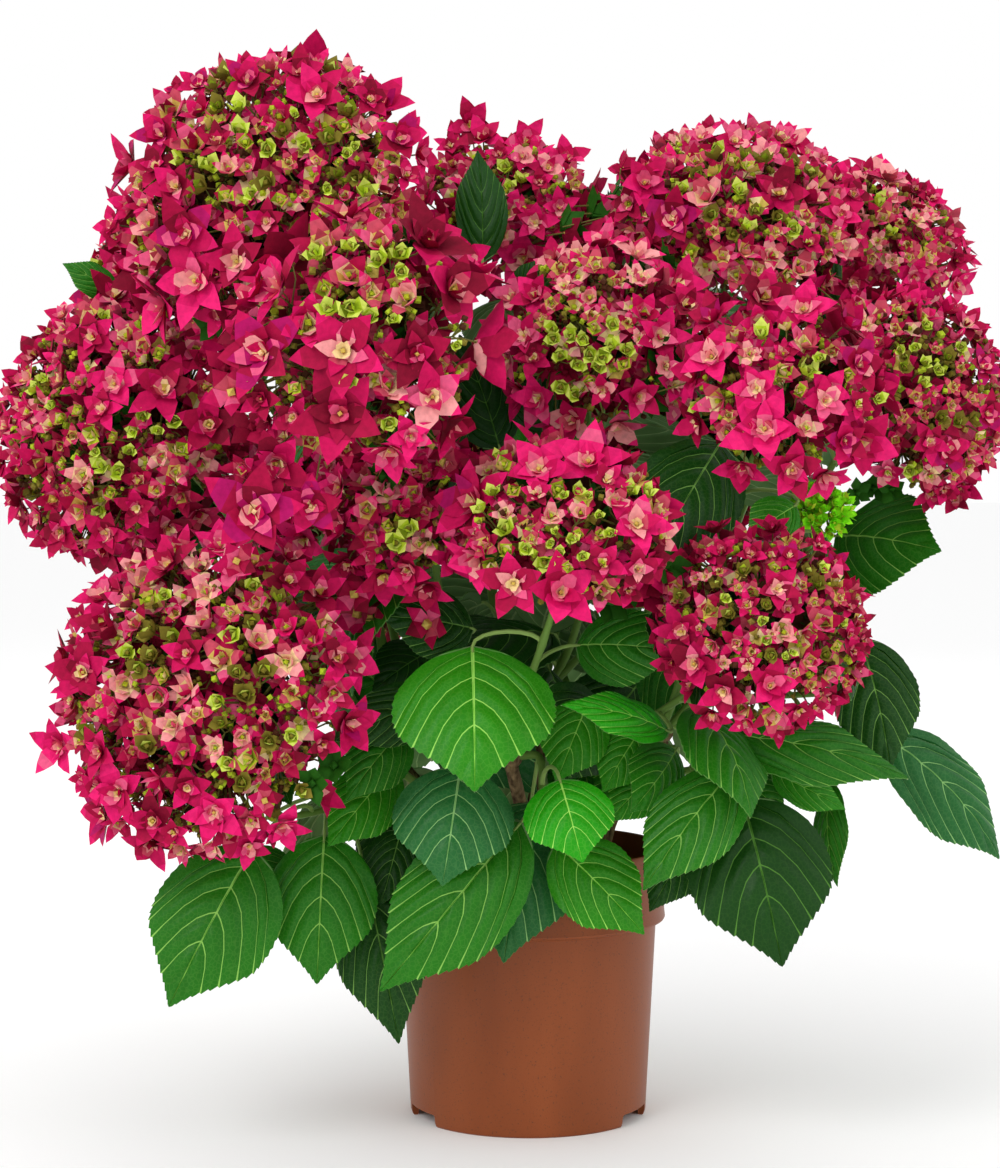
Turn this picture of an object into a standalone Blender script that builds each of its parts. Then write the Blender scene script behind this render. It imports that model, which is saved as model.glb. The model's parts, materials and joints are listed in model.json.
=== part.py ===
"""A potted hydrangea: a plastic nursery pot full of compost, canes, leafy shoots and double-flowered heads.

The origin is the middle of the pot's flat underside. The plant's front faces -Y and +Z is up.
"""

import math
import random
from collections import namedtuple

import bmesh
import bpy
from mathutils import Vector
from mathutils.bvhtree import BVHTree
from mathutils.geometry import delaunay_2d_cdt

# Driving dimensions, in metres.
GAP = 0.0003
WELD = 0.000004
SCRAP = 0.0000002
UP = Vector((0, 0, 1))

POT_SIDES = 40
POT_HEIGHT = 0.190
POT_RIM_RADIUS = 0.097
POT_BAND_BOTTOM = 0.140
POT_NECK_RADIUS = 0.0905
POT_FOOT_RADIUS = 0.0830
POT_WALL = 0.0020
POT_DISC_RADIUS = 0.058
POT_CHANNEL_HEIGHT = 0.0095
POT_ROUND = 0.0015
POT_CREASE = 0.0005
POT_NOTCH_ANGLES = (65, 116, -65, -116)
POT_NOTCH_WIDTH = 0.040
POT_NOTCH_DEPTH = 0.014
POT_NOTCH_HEIGHT = 0.0085

SOIL_TOP = 0.173

CANE_SIDES = 6
CANE_RADIUS = 0.0050
CANE_FLARE = 0.0085
KNOB_RADIUS = 0.0075
KNOB_RINGS = (0.55, 0.0, -0.55, -0.95)
FORK_SPREAD = math.radians(66)
HEAD_CLIMB = 0.75
SKIRT_CLIMB = 0.15
SKIRT_TOP = 0.30

SHOOT_SIDES = 4
SHOOT_STEPS = 7
SHOOT_END = 0.008
SHOOT_FOOT_RADIUS = 0.0030
SHOOT_TIP_RADIUS = 0.0020
SHOOT_NODE_SPACING = 0.062

STALK_RADIUS = 0.0015
STALK_ROOT = 0.0008
SHORT_STALK = 0.045
LEAF_LENGTH = 0.116
LEAF_WIDTH = 0.70
LEAF_THICKNESS = 0.0018
LEAF_ARCH = 0.10
LEAF_KEEL = 0.22
LEAF_STATIONS = (0.16, 0.44, 0.76)
LEVEL_HEIGHT = 0.52
DROOP_DEPTH = 0.26
STALK_LENGTHS = (0.026, 0.036)
# What a leaf tries in turn for a free place: its size, its sag, its swing towards the crown's outside.
LEAF_TRIES = (
    (1.0, 0.0, 0.4),
    (1.0, 0.35, 0.8),
    (1.0, -0.35, 0.1),
    (0.9, 0.7, 0.6),
    (0.9, -0.3, 1.2),
    (0.8, 0.2, 0.3),
    (0.8, 1.2, 0.9),
    (0.8, -0.6, 0.5),
    (0.7, 0.5, 1.5),
    (0.65, 0.0, 0.0),
)
CROWN_FOOT = 0.15
CROWN_FOOT_REACH = 0.22
CROWN_WIDENING = 0.25
CROWN_MOST_REACH = 0.30
NODES_TRIED = 12

HEAD_DEPTH = 0.45
HEAD_FLORETS = 15
HEAD_RIM_FLORETS = 9
HEAD_RIM_TILT = 116
FLORET_HEART = 0.05
FLORET_TIP = -0.03
FLORET_NOTCH = -0.16
HEAD_HOLLOW = 0.15

COLOURS = {
    "pot": (0.23, 0.070, 0.027),
    "compost": (0.020, 0.011, 0.006),
    "cane": (0.19, 0.13, 0.065),
    "leaf": (0.030, 0.120, 0.022),
    "petal": (0.47, 0.010, 0.090),
    "young_petal": (0.36, 0.56, 0.03),
}

Cane = namedtuple("Cane", "name foot fork")
Head = namedtuple("Head", "name cane centre facing radius height")
Leafy = namedtuple("Leafy", "name cane tip lean")
Blade = namedtuple("Blade", "base tip width facing")

CANES = (
    Cane("front_left", (-0.030, -0.034), (-0.070, -0.058, 0.232)),
    Cane("left", (-0.052, 0.002), (-0.098, -0.008, 0.265)),
    Cane("front", (0.000, -0.048), (-0.012, -0.080, 0.262)),
    Cane("front_right", (0.040, -0.034), (0.074, -0.062, 0.245)),
    Cane("centre", (0.004, 0.004), (0.010, 0.006, 0.300)),
    Cane("right", (0.052, 0.006), (0.096, 0.018, 0.268)),
    Cane("back_left", (-0.034, 0.036), (-0.066, 0.072, 0.255)),
    Cane("back_right", (0.030, 0.042), (0.052, 0.086, 0.262)),
)

HEADS = (
    Head("top_left", "left", (-0.178, -0.060, 0.643), (-0.25, -0.80, 0.45), 0.112, 0.058),
    Head("shoulder_left", "left", (-0.274, 0.088, 0.604), (-0.62, -0.25, 0.72), 0.059, 0.038),
    Head("far_left", "left", (-0.286, -0.020, 0.489), (-0.42, -0.82, 0.30), 0.100, 0.052),
    Head("upper_left", "left", (-0.106, -0.207, 0.544), (-0.05, -0.92, 0.28), 0.086, 0.042),
    Head("inner_left", "left", (-0.150, -0.040, 0.442), (-0.10, -0.88, 0.30), 0.047, 0.032),
    Head("low_left", "front_left", (-0.211, -0.160, 0.313), (-0.35, -0.85, 0.30), 0.109, 0.058),
    Head("centre_left", "front", (-0.080, -0.146, 0.430), (-0.05, -0.90, 0.40), 0.057, 0.036),
    Head("centre", "front", (0.020, -0.205, 0.425), (0.00, -0.75, 0.65), 0.071, 0.035),
    Head("low_right", "front_right", (0.148, -0.175, 0.358), (0.12, -0.88, 0.45), 0.071, 0.045),
    Head("young", "front_right", (0.195, -0.100, 0.431), (0.15, -0.55, 0.80), 0.022, 0.016),
    Head("top_right", "centre", (0.146, 0.033, 0.633), (0.05, -0.65, 0.75), 0.091, 0.054),
    Head("middle", "centre", (0.048, -0.079, 0.545), (-0.05, -0.88, 0.45), 0.073, 0.045),
    Head("middle_right", "front_right", (0.166, -0.150, 0.512), (0.15, -0.88, 0.45), 0.071, 0.043),
    Head("far_right", "right", (0.269, -0.010, 0.510), (0.50, -0.76, 0.40), 0.080, 0.048),
    Head("upper_right", "right", (0.269, 0.127, 0.629), (0.45, -0.50, 0.72), 0.069, 0.038),
    Head("crown", "centre", (-0.018, 0.075, 0.644), (-0.10, -0.75, 0.65), 0.070, 0.044),
    Head("back_crown", "centre", (0.050, 0.200, 0.600), (0.00, 0.60, 0.80), 0.082, 0.048),
    Head("back_left", "back_left", (-0.130, 0.165, 0.590), (-0.35, 0.60, 0.65), 0.084, 0.048),
    Head("back_right", "back_right", (0.158, 0.232, 0.482), (0.30, 0.85, 0.42), 0.080, 0.048),
    Head("back_far_left", "back_left", (-0.262, 0.130, 0.430), (-0.78, 0.50, 0.38), 0.080, 0.046),
    Head("back_low", "back_right", (0.010, 0.275, 0.445), (0.00, 0.90, 0.42), 0.084, 0.048),
    Head("back_low_left", "back_left", (-0.150, 0.245, 0.370), (-0.45, 0.85, 0.28), 0.080, 0.045),
)

LEAFY_SHOOTS = (
    Leafy("skirt_left", "front_left", (-0.165, -0.085, 0.222), (-0.9, -0.5, 0.0)),
    Leafy("skirt_front", "front", (0.012, -0.122, 0.240), (0.3, -0.9, 0.0)),
    Leafy("skirt_right", "front_right", (0.140, -0.100, 0.262), (0.7, -0.6, 0.2)),
    Leafy("skirt_far_right", "right", (0.225, -0.010, 0.300), (0.9, -0.2, 0.1)),
    Leafy("skirt_back_left", "back_left", (-0.130, 0.125, 0.240), (-0.6, 0.7, 0.1)),
    Leafy("skirt_back_right", "back_right", (0.120, 0.140, 0.245), (0.6, 0.7, 0.1)),
)

# The leaves of the front, turned out to the light: where the blade starts and ends, its width, its facing.
FRONT = (0.0, -1.0, 0.35)
FRONT_BLADES = (
    Blade((-0.038, -0.155, 0.343), (-0.035, -0.215, 0.256), 0.104, (0.0, -1.0, 0.80)),
    Blade((-0.046, -0.135, 0.262), (-0.056, -0.168, 0.188), 0.079, FRONT),
    Blade((-0.006, -0.128, 0.224), (-0.096, -0.155, 0.114), 0.077, FRONT),
    Blade((-0.184, -0.125, 0.206), (-0.237, -0.152, 0.105), 0.084, FRONT),
    Blade((-0.138, -0.105, 0.212), (-0.141, -0.125, 0.115), 0.074, FRONT),
    Blade((-0.114, -0.080, 0.192), (-0.086, -0.110, 0.072), 0.064, FRONT),
    Blade((-0.092, -0.085, 0.256), (-0.134, -0.115, 0.205), 0.048, FRONT),
    Blade((-0.084, -0.105, 0.284), (-0.122, -0.140, 0.241), 0.042, FRONT),
    Blade((0.019, -0.155, 0.256), (0.032, -0.180, 0.205), 0.059, (0.0, -1.0, 0.80)),
    Blade((0.017, -0.115, 0.208), (0.076, -0.140, 0.152), 0.057, FRONT),
    Blade((0.137, -0.125, 0.260), (0.075, -0.160, 0.183), 0.060, (-0.4, -1.0, 0.30)),
    Blade((0.113, -0.092, 0.216), (0.081, -0.112, 0.161), 0.041, FRONT),
    Blade((0.141, -0.120, 0.240), (0.165, -0.152, 0.132), 0.094, FRONT),
    Blade((0.247, -0.030, 0.272), (0.334, -0.010, 0.184), 0.062, (0.3, -1.0, 0.55)),
    Blade((0.117, -0.105, 0.280), (0.253, -0.110, 0.249), 0.052, (0.1, -0.8, 0.70)),
    Blade((0.228, -0.050, 0.340), (0.246, -0.085, 0.254), 0.060, FRONT),
    Blade((0.209, -0.045, 0.240), (0.213, -0.060, 0.170), 0.030, (-0.8, -0.7, 0.10)),
    Blade((0.222, 0.045, 0.407), (0.288, -0.015, 0.398), 0.080, FRONT),
    Blade((0.176, -0.118, 0.434), (0.143, -0.128, 0.412), 0.034, FRONT),
    Blade((0.031, -0.105, 0.340), (0.101, -0.138, 0.338), 0.053, FRONT),
    Blade((-0.038, -0.090, 0.350), (-0.100, -0.120, 0.360), 0.049, FRONT),
    Blade((0.092, -0.125, 0.284), (0.020, -0.168, 0.306), 0.032, (0.1, -0.9, 0.60)),
    Blade((0.040, -0.092, 0.302), (0.018, -0.110, 0.248), 0.046, FRONT),
    Blade((-0.032, -0.020, 0.600), (-0.034, -0.008, 0.678), 0.036, (0.1, -1.0, 0.00)),
    Blade((-0.060, -0.105, 0.306), (-0.128, -0.130, 0.278), 0.042, FRONT),
    Blade((0.140, -0.040, 0.274), (0.214, -0.040, 0.274), 0.030, FRONT),
    Blade((0.165, -0.075, 0.251), (0.215, -0.075, 0.224), 0.027, FRONT),
    Blade((0.144, -0.070, 0.246), (0.174, -0.075, 0.222), 0.035, FRONT),
    Blade((0.074, -0.095, 0.281), (0.048, -0.108, 0.242), 0.036, FRONT),
    Blade((0.088, -0.090, 0.256), (0.052, -0.102, 0.220), 0.035, FRONT),
    Blade((0.118, -0.040, 0.451), (0.109, -0.055, 0.391), 0.036, FRONT),
    Blade((0.126, -0.080, 0.469), (0.123, -0.085, 0.411), 0.019, FRONT),
    Blade((0.011, -0.030, 0.477), (-0.006, -0.050, 0.549), 0.041, FRONT),
    Blade((-0.006, -0.010, 0.571), (0.011, -0.020, 0.603), 0.028, FRONT),
    Blade((-0.292, 0.030, 0.579), (-0.329, 0.020, 0.602), 0.024, FRONT),
    Blade((-0.067, -0.060, 0.333), (-0.107, -0.085, 0.308), 0.043, FRONT),
    Blade((-0.087, -0.085, 0.213), (-0.099, -0.103, 0.164), 0.041, FRONT),
    Blade((-0.191, -0.085, 0.199), (-0.162, -0.095, 0.168), 0.034, FRONT),
    Blade((-0.020, -0.020, 0.470), (-0.046, -0.035, 0.550), 0.052, FRONT),
    Blade((-0.069, -0.030, 0.456), (-0.058, -0.050, 0.512), 0.045, FRONT),
    Blade((0.233, 0.060, 0.553), (0.214, 0.050, 0.606), 0.046, FRONT),
    Blade((0.086, 0.002, 0.254), (0.047, -0.008, 0.214), 0.045, FRONT),
    Blade((-0.079, -0.050, 0.229), (-0.115, -0.068, 0.172), 0.045, FRONT),
    Blade((0.036, 0.034, 0.262), (0.048, 0.024, 0.204), 0.054, FRONT),
    Blade((0.076, 0.048, 0.262), (0.066, 0.058, 0.206), 0.048, FRONT),
    Blade((0.092, -0.012, 0.338), (0.114, -0.022, 0.268), 0.052, FRONT),
)

# Leaves pinched out, by shoot, pair and side, where they would hide a better one.
PINCHED = (("centre", 2, 0), ("centre_left", 0, 0), ("low_right", 2, 1), ("far_right", 3, 0))


def sides_of(axis, towards=UP):
    """Two unit vectors square to the axis: one across, one as near to the given direction as can be."""
    across = axis.cross(towards)
    if across.length < 1e-4:
        across = axis.cross(Vector((1, 0, 0)))
    across.normalize()
    return across, across.cross(axis).normalized()


def bezier(start, start_handle, end_handle, end, steps):
    """Points evenly spread by parameter along one cubic curve."""
    points = []
    for step in range(steps + 1):
        t = step / steps
        near = start * (1 - t) ** 3 + start_handle * (3 * t * (1 - t) ** 2)
        points.append(near + end_handle * (3 * t * t * (1 - t)) + end * t**3)
    return points


def taper(first, last, count):
    return [first + (last - first) * i / (count - 1) for i in range(count)]


def make_material(name, roughness):
    made = bpy.data.materials.new(name)
    made.use_nodes = True
    shader = made.node_tree.nodes["Principled BSDF"]
    shader.inputs["Base Color"].default_value = (*COLOURS[name], 1)
    shader.inputs["Roughness"].default_value = roughness
    shader.inputs["Metallic"].default_value = 0
    return made


def tube(points, radii, sides):
    """A closed tapering limb of round rings square to its run."""
    shape = bmesh.new()
    rings = []
    towards = Vector((0.31, 0.17, 0.93))
    for i, (point, radius) in enumerate(zip(points, radii)):
        before = points[max(i - 1, 0)]
        after = points[min(i + 1, len(points) - 1)]
        across, towards = sides_of((after - before).normalized(), towards)
        ring = []
        for side in range(sides):
            turn = 2 * math.pi * side / sides
            out = across * math.cos(turn) + towards * math.sin(turn)
            ring.append(shape.verts.new(point + out * radius))
        rings.append(ring)
    for low, high in zip(rings, rings[1:]):
        for side in range(sides):
            after = (side + 1) % sides
            shape.faces.new((low[side], low[after], high[after], high[side]))
    shape.faces.new(rings[0])
    shape.faces.new(rings[-1])
    bmesh.ops.recalc_face_normals(shape, faces=shape.faces)
    return shape


def half_width(along):
    """Half the leaf's outline over its greatest half width, from stalk (0) to point (1)."""
    return math.sin(math.pi * along**0.8) ** 0.85 * (1 - 0.30 * along**8)


def midrib(blade, along):
    """A point of the leaf's arched middle line, from stalk (0) to tip (1)."""
    base = Vector(blade.base)
    run = Vector(blade.tip) - base
    _, normal = sides_of(run.normalized(), Vector(blade.facing))
    return base + run * along + normal * run.length * LEAF_ARCH * 4 * along * (1 - along)


def leaf(blade, stem_point=None):
    """A closed ovate blade, keeled above and below, its edges sharp. From a stem it also has its stalk."""
    run = Vector(blade.tip) - Vector(blade.base)
    across, normal = sides_of(run.normalized(), Vector(blade.facing))
    shape = bmesh.new()
    rings = []

    def add_ring(middle, across_way, half, normal_way, thick, edge_drop=0.0):
        edge = normal_way * edge_drop
        ring = (
            middle - across_way * half - edge,
            middle + normal_way * thick,
            middle + across_way * half - edge,
            middle - normal_way * thick,
        )
        rings.append([shape.verts.new(point) for point in ring])

    if stem_point:
        base = midrib(blade, 0)
        reach = (base - stem_point).length
        steps = 1 if reach < SHORT_STALK else 2
        root = stem_point - (base - stem_point).normalized() * STALK_ROOT
        line = bezier(root, root + UP * reach * 0.25, base - run.normalized() * reach * 0.3, base, steps)
        for before, point in zip([line[0]] + line, line):
            way = (base - before if before is point else point - before).normalized()
            stalk_across, stalk_normal = sides_of(way, normal)
            add_ring(point, stalk_across, STALK_RADIUS, stalk_normal, STALK_RADIUS)
    else:
        add_ring(midrib(blade, 0), across, STALK_RADIUS, normal, STALK_RADIUS)
    for along in LEAF_STATIONS:
        half = half_width(along) * blade.width / 2
        add_ring(midrib(blade, along), across, half, normal, LEAF_THICKNESS / 2, half * LEAF_KEEL)
    for low, high in zip(rings, rings[1:]):
        for side in range(4):
            after = (side + 1) % 4
            shape.faces.new((low[side], low[after], high[after], high[side]))
    shape.faces.new(rings[0])
    point = shape.verts.new(midrib(blade, 1))
    for side in range(4):
        shape.faces.new((rings[-1][side], rings[-1][(side + 1) % 4], point))
    bmesh.ops.recalc_face_normals(shape, faces=shape.faces)
    return shape


def tree_of(shape):
    return BVHTree.FromBMesh(shape)


def bounds_of(shape):
    corners = [vert.co for vert in shape.verts]
    low = [min(corner[i] for corner in corners) for i in range(3)]
    high = [max(corner[i] for corner in corners) for i in range(3)]
    return low, high


class Space:
    """What already stands in the crown, so that a new leaf can be kept clear of it."""

    def __init__(self):
        self.taken = []

    def add(self, shape, owner):
        self.taken.append((owner, *bounds_of(shape), tree_of(shape)))

    def clashes(self, shape, owner=None):
        """The owners that the shape would cut into, its own left out."""
        low, high = bounds_of(shape)
        tree = tree_of(shape)
        found = []
        for other, other_low, other_high, other_tree in self.taken:
            apart = any(low[i] > other_high[i] + GAP or other_low[i] > high[i] + GAP for i in range(3))
            if other != owner and not apart and tree.overlap(other_tree):
                found.append(other)
        return found


def add_object(name, shape, *materials):
    mesh = bpy.data.meshes.new(name)
    shape.to_mesh(mesh)
    made = bpy.data.objects.new(name, mesh)
    for material in materials:
        mesh.materials.append(material)
    bpy.context.scene.collection.objects.link(made)
    return made


def keep_outer_shell(mesh):
    """Keeps only the surface with the most volume. Tells if it is closed and no more than scraps went."""
    shape = bmesh.new()
    shape.from_mesh(mesh)
    bmesh.ops.triangulate(shape, faces=shape.faces)
    bmesh.ops.remove_doubles(shape, verts=shape.verts, dist=WELD)
    bmesh.ops.dissolve_degenerate(shape, dist=WELD, edges=shape.edges)
    left = set(shape.faces)
    shells = []
    while left:
        reached = {left.pop()}
        edge_of_reach = list(reached)
        while edge_of_reach:
            face = edge_of_reach.pop()
            sound = [edge for edge in face.edges if len(edge.link_faces) == 2]
            near = {other for edge in sound for other in edge.link_faces} & left
            left -= near
            reached |= near
            edge_of_reach.extend(near)
        volume = sum(f.verts[0].co.cross(f.verts[1].co).dot(f.verts[2].co) / 6 for f in reached)
        shells.append((volume, reached))
    shells.sort(key=lambda shell: shell[0])
    for _, faces in shells[:-1]:
        bmesh.ops.delete(shape, geom=list(faces), context="FACES")
    whole = all(volume < SCRAP for volume, _ in shells[:-1])
    sound = whole and all(len(edge.link_faces) == 2 for edge in shape.edges)
    shape.to_mesh(mesh)
    shape.free()
    return sound


def fuse(name, body, pieces, *materials):
    """One object of the body with all the pieces joined to it."""
    made = add_object(name, body, *materials)
    group = bpy.data.collections.new(name + "_pieces")
    bpy.context.scene.collection.children.link(group)
    for shape in pieces:
        piece = add_object(name + "_piece", shape, *materials)
        bpy.context.scene.collection.objects.unlink(piece)
        group.objects.link(piece)
    joining = made.modifiers.new("join", "BOOLEAN")
    joining.operation = "UNION"
    joining.operand_type = "COLLECTION"
    joining.collection = group
    for solver in ("EXACT", "MANIFOLD"):
        joining.solver = solver
        bpy.context.view_layer.update()
        joined = bpy.data.meshes.new_from_object(made.evaluated_get(bpy.context.evaluated_depsgraph_get()))
        if keep_outer_shell(joined):
            break
    made.modifiers.clear()
    made.data = joined
    joined.name = name
    for piece in list(group.objects):
        bpy.data.objects.remove(piece)
    bpy.data.collections.remove(group)
    return made


def turned(name, profile, sides, material):
    """A solid turned round +Z from a closed outline that starts and ends on the axis, bottom first."""
    shape = bmesh.new()
    rings = []
    for radius, height in profile:
        if radius == 0:
            rings.append([shape.verts.new((0, 0, height))] * sides)
            continue
        turns = [2 * math.pi * (side + 0.5) / sides for side in range(sides)]
        rings.append([shape.verts.new((radius * math.cos(t), radius * math.sin(t), height)) for t in turns])
    for low, high in zip(rings, rings[1:]):
        for side in range(sides):
            after = (side + 1) % sides
            corners = dict.fromkeys((low[side], low[after], high[after], high[side]))
            shape.faces.new(tuple(corners))
    bmesh.ops.recalc_face_normals(shape, faces=shape.faces)
    made = add_object(name, shape, material)
    made.data.shade_smooth()
    made.data.set_sharp_from_angle(angle=math.radians(30))
    return made


def make_pot(material):
    """A thin plastic pot: a middle disc to stand on, a channel, a foot ring, a tapering wall, a rim band."""
    foot_in = POT_FOOT_RADIUS - POT_WALL * 2
    band = POT_BAND_BOTTOM
    profile = (
        (0, 0),
        (POT_DISC_RADIUS, 0),
        (POT_DISC_RADIUS + POT_WALL, POT_CHANNEL_HEIGHT),
        (foot_in - POT_CREASE, POT_CHANNEL_HEIGHT),
        (foot_in, 0),
        (POT_FOOT_RADIUS - POT_ROUND, 0),
        (POT_FOOT_RADIUS + POT_CREASE, POT_ROUND * 2),
        (POT_NECK_RADIUS, band - POT_WALL),
        (POT_RIM_RADIUS - POT_ROUND, band - POT_ROUND),
        (POT_RIM_RADIUS, band + POT_ROUND),
        (POT_RIM_RADIUS, POT_HEIGHT - POT_ROUND),
        (POT_RIM_RADIUS - POT_WALL / 2, POT_HEIGHT),
        (POT_RIM_RADIUS - POT_WALL, POT_HEIGHT - POT_WALL / 2),
        (POT_RIM_RADIUS - POT_WALL - POT_CREASE, band + POT_WALL),
        (POT_NECK_RADIUS - POT_WALL, band - POT_WALL),
        (foot_in + POT_CREASE * 2, POT_CHANNEL_HEIGHT + POT_WALL),
        (POT_DISC_RADIUS + POT_WALL + POT_CREASE * 2, POT_CHANNEL_HEIGHT + POT_WALL),
        (POT_DISC_RADIUS - POT_WALL, POT_WALL),
        (0, POT_WALL),
    )
    pot = turned("pot", profile, POT_SIDES, material)
    for number, degrees in enumerate(POT_NOTCH_ANGLES):
        angle = math.radians(degrees)
        bpy.ops.mesh.primitive_cube_add(size=1)
        cutter = bpy.context.object
        cutter.name = f"notch_cutter_{number}"
        cutter.scale = (POT_NOTCH_WIDTH, POT_NOTCH_DEPTH, POT_NOTCH_HEIGHT * 2)
        cutter.location = (POT_FOOT_RADIUS * math.sin(angle), -POT_FOOT_RADIUS * math.cos(angle), 0)
        cutter.rotation_euler = (0, 0, angle)
        cutter.hide_render = True
        cutter.display_type = "WIRE"
        notch = pot.modifiers.new(f"notch_{number}", "BOOLEAN")
        notch.operation = "DIFFERENCE"
        notch.object = cutter
    return pot


def make_potting_mix(material):
    """Compost that fills the pot to just under its rim, a hair clear of the plastic."""
    foot = POT_FOOT_RADIUS - POT_WALL * 2 + POT_CREASE * 2
    channel_top = POT_CHANNEL_HEIGHT + POT_WALL + GAP * 2
    clear = GAP * 3
    neck = POT_NECK_RADIUS - POT_WALL - clear
    lip = POT_RIM_RADIUS - POT_WALL - POT_CREASE - clear
    profile = (
        (0, POT_WALL + GAP),
        (POT_DISC_RADIUS - POT_WALL * 2, POT_WALL + GAP),
        (POT_DISC_RADIUS + POT_WALL / 2, channel_top),
        (foot - clear, channel_top),
        (neck, POT_BAND_BOTTOM - POT_ROUND),
        (lip, POT_BAND_BOTTOM + POT_WALL * 2),
        (lip, SOIL_TOP - POT_ROUND * 2),
        (lip - POT_WALL * 2, SOIL_TOP),
        (0, SOIL_TOP),
    )
    return turned("potting_mix", profile, POT_SIDES // 2, material)


def make_cane(cane, material):
    """A woody cane: flared at the compost, leaning out, with a swollen knob where old growth was cut."""
    foot = Vector((*cane.foot, SOIL_TOP + GAP))
    fork = Vector(cane.fork)
    rise = fork.z - foot.z
    run = bezier(foot, foot + UP * rise * 0.45, fork - (fork - foot) * 0.3, fork - UP * KNOB_RADIUS * 0.95, 6)
    run.insert(1, foot + UP * 0.006)
    radii = [CANE_FLARE, CANE_RADIUS * 1.25] + taper(CANE_RADIUS * 1.1, CANE_RADIUS * 0.86, 6)
    for share in KNOB_RINGS:
        run.append(fork - UP * KNOB_RADIUS * share)
        radii.append(KNOB_RADIUS * math.sqrt(1 - share * share) * 0.99)
    return tube(run, radii, CANE_SIDES)


def fork_directions(cane):
    """The way each shoot of the cane leaves the knob: a fan in the order of the shoots' tips."""
    fork = Vector(cane.fork)
    tips = {head.name: Vector(head.centre) for head in HEADS if head.cane == cane.name}
    tips.update({shoot.name: Vector(shoot.tip) for shoot in LEAFY_SHOOTS if shoot.cane == cane.name})
    bearings = {name: math.atan2(tip.y - fork.y, tip.x - fork.x) for name, tip in tips.items()}
    middle = math.atan2(sum(map(math.sin, bearings.values())), sum(map(math.cos, bearings.values())))
    order = sorted(bearings, key=lambda name: (bearings[name] - middle + math.pi) % (2 * math.pi))
    spacing = min(2 * math.pi / len(order), FORK_SPREAD)
    ways = {}
    for i, name in enumerate(order):
        bearing = middle + (i - (len(order) - 1) / 2) * spacing
        climb = HEAD_CLIMB if tips[name].z > SKIRT_TOP else SKIRT_CLIMB
        ways[name] = Vector((math.cos(bearing), math.sin(bearing), climb)).normalized()
    return ways


def head_foot(head):
    """The end of the head's stalk, where its shoot meets it."""
    return Vector(head.centre) - Vector(head.facing).normalized() * head.radius * HEAD_DEPTH


def shoot_run(name, way, end, end_way):
    """The line of a shoot from its cane's knob to its tip."""
    cane_name = next(item.cane for item in HEADS + LEAFY_SHOOTS if item.name == name)
    fork = Vector(next(cane.fork for cane in CANES if cane.name == cane_name))
    foot = fork + way * (KNOB_RADIUS + GAP)
    start = foot + way * SHOOT_END
    stop = end - end_way * SHOOT_END
    reach = (stop - start).length
    curve = bezier(start, start + way * reach * 0.30, stop - end_way * reach * 0.34, stop, SHOOT_STEPS)
    return [foot] + curve + [end]


def dome_point(head, tilt, turn, share=1.0):
    """A point of the head's dome, by its angle from the top and its turn about it, and the outward way there."""
    facing = Vector(head.facing).normalized()
    across, along = sides_of(facing)
    round_way = across * math.cos(turn) + along * math.sin(turn)
    point = Vector(head.centre) + round_way * head.radius * share * math.sin(tilt)
    point += facing * head.height * share * math.cos(tilt)
    outward = round_way * math.sin(tilt) / head.radius + facing * math.cos(tilt) / head.height
    return point, outward.normalized()


def head_shape(head):
    """A dome of star florets in a sunflower spiral, hollow below like an umbrella, on a stalk of its own.

    Neighbouring florets meet at their tips, and the dome is creased between them.
    """
    facing = Vector(head.facing).normalized()
    golden = math.pi * (3 - math.sqrt(5))
    places = []
    for i in range(HEAD_FLORETS):
        places.append((math.acos(1 - 0.80 * (i + 0.5) / HEAD_FLORETS), golden * i))
    for i in range(HEAD_RIM_FLORETS):
        places.append((math.radians(HEAD_RIM_TILT), 2 * math.pi * i / HEAD_RIM_FLORETS))
    flat = [Vector((tilt * math.cos(turn), tilt * math.sin(turn))) for tilt, turn in places]
    triangles = delaunay_2d_cdt(flat, [], [], 0, 1e-5)[2]

    shape = bmesh.new()

    def raised(flat_point, lift):
        point, outward = dome_point(head, flat_point.length, math.atan2(flat_point.y, flat_point.x))
        return shape.verts.new(point + outward * head.radius * lift)

    hearts = [raised(point, FLORET_HEART) for point in flat]
    notches = {}
    for corners in triangles:
        tip = raised(sum((flat[i] for i in corners), Vector((0, 0))) / 3, FLORET_TIP)
        for first, second in zip(corners, corners[1:] + corners[:1]):
            pair = frozenset((first, second))
            if pair not in notches:
                notches[pair] = raised((flat[first] + flat[second]) / 2, FLORET_NOTCH)
            shape.faces.new((hearts[first], notches[pair], tip))
            shape.faces.new((notches[pair], hearts[second], tip))

    rim = []
    for i in range(HEAD_RIM_FLORETS):
        first = HEAD_FLORETS + i
        second = HEAD_FLORETS + (i + 1) % HEAD_RIM_FLORETS
        rim += [hearts[first], notches[frozenset((first, second))]]
    top = Vector(head.centre) + facing * (head.height - head.radius * HEAD_HOLLOW)
    foot = head_foot(head) + facing * GAP
    across, along = sides_of(facing)
    ends = []
    for middle in (top, foot):
        ways = (across, along, -across, -along)
        ends.append([shape.verts.new(middle + way * SHOOT_TIP_RADIUS) for way in ways])
    for side in range(4):
        after = (side + 1) % 4
        shape.faces.new((ends[0][side], ends[0][after], ends[1][after], ends[1][side]))
    shape.faces.new(ends[1])
    for i, vert in enumerate(rim):
        after = rim[(i + 1) % len(rim)]
        side = ends[0][round(4 * i / len(rim)) % 4]
        next_side = ends[0][round(4 * (i + 1) / len(rim)) % 4]
        shape.faces.new(tuple(dict.fromkeys((vert, after, next_side, side))))
    bmesh.ops.recalc_face_normals(shape, faces=shape.faces)
    return shape


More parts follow.
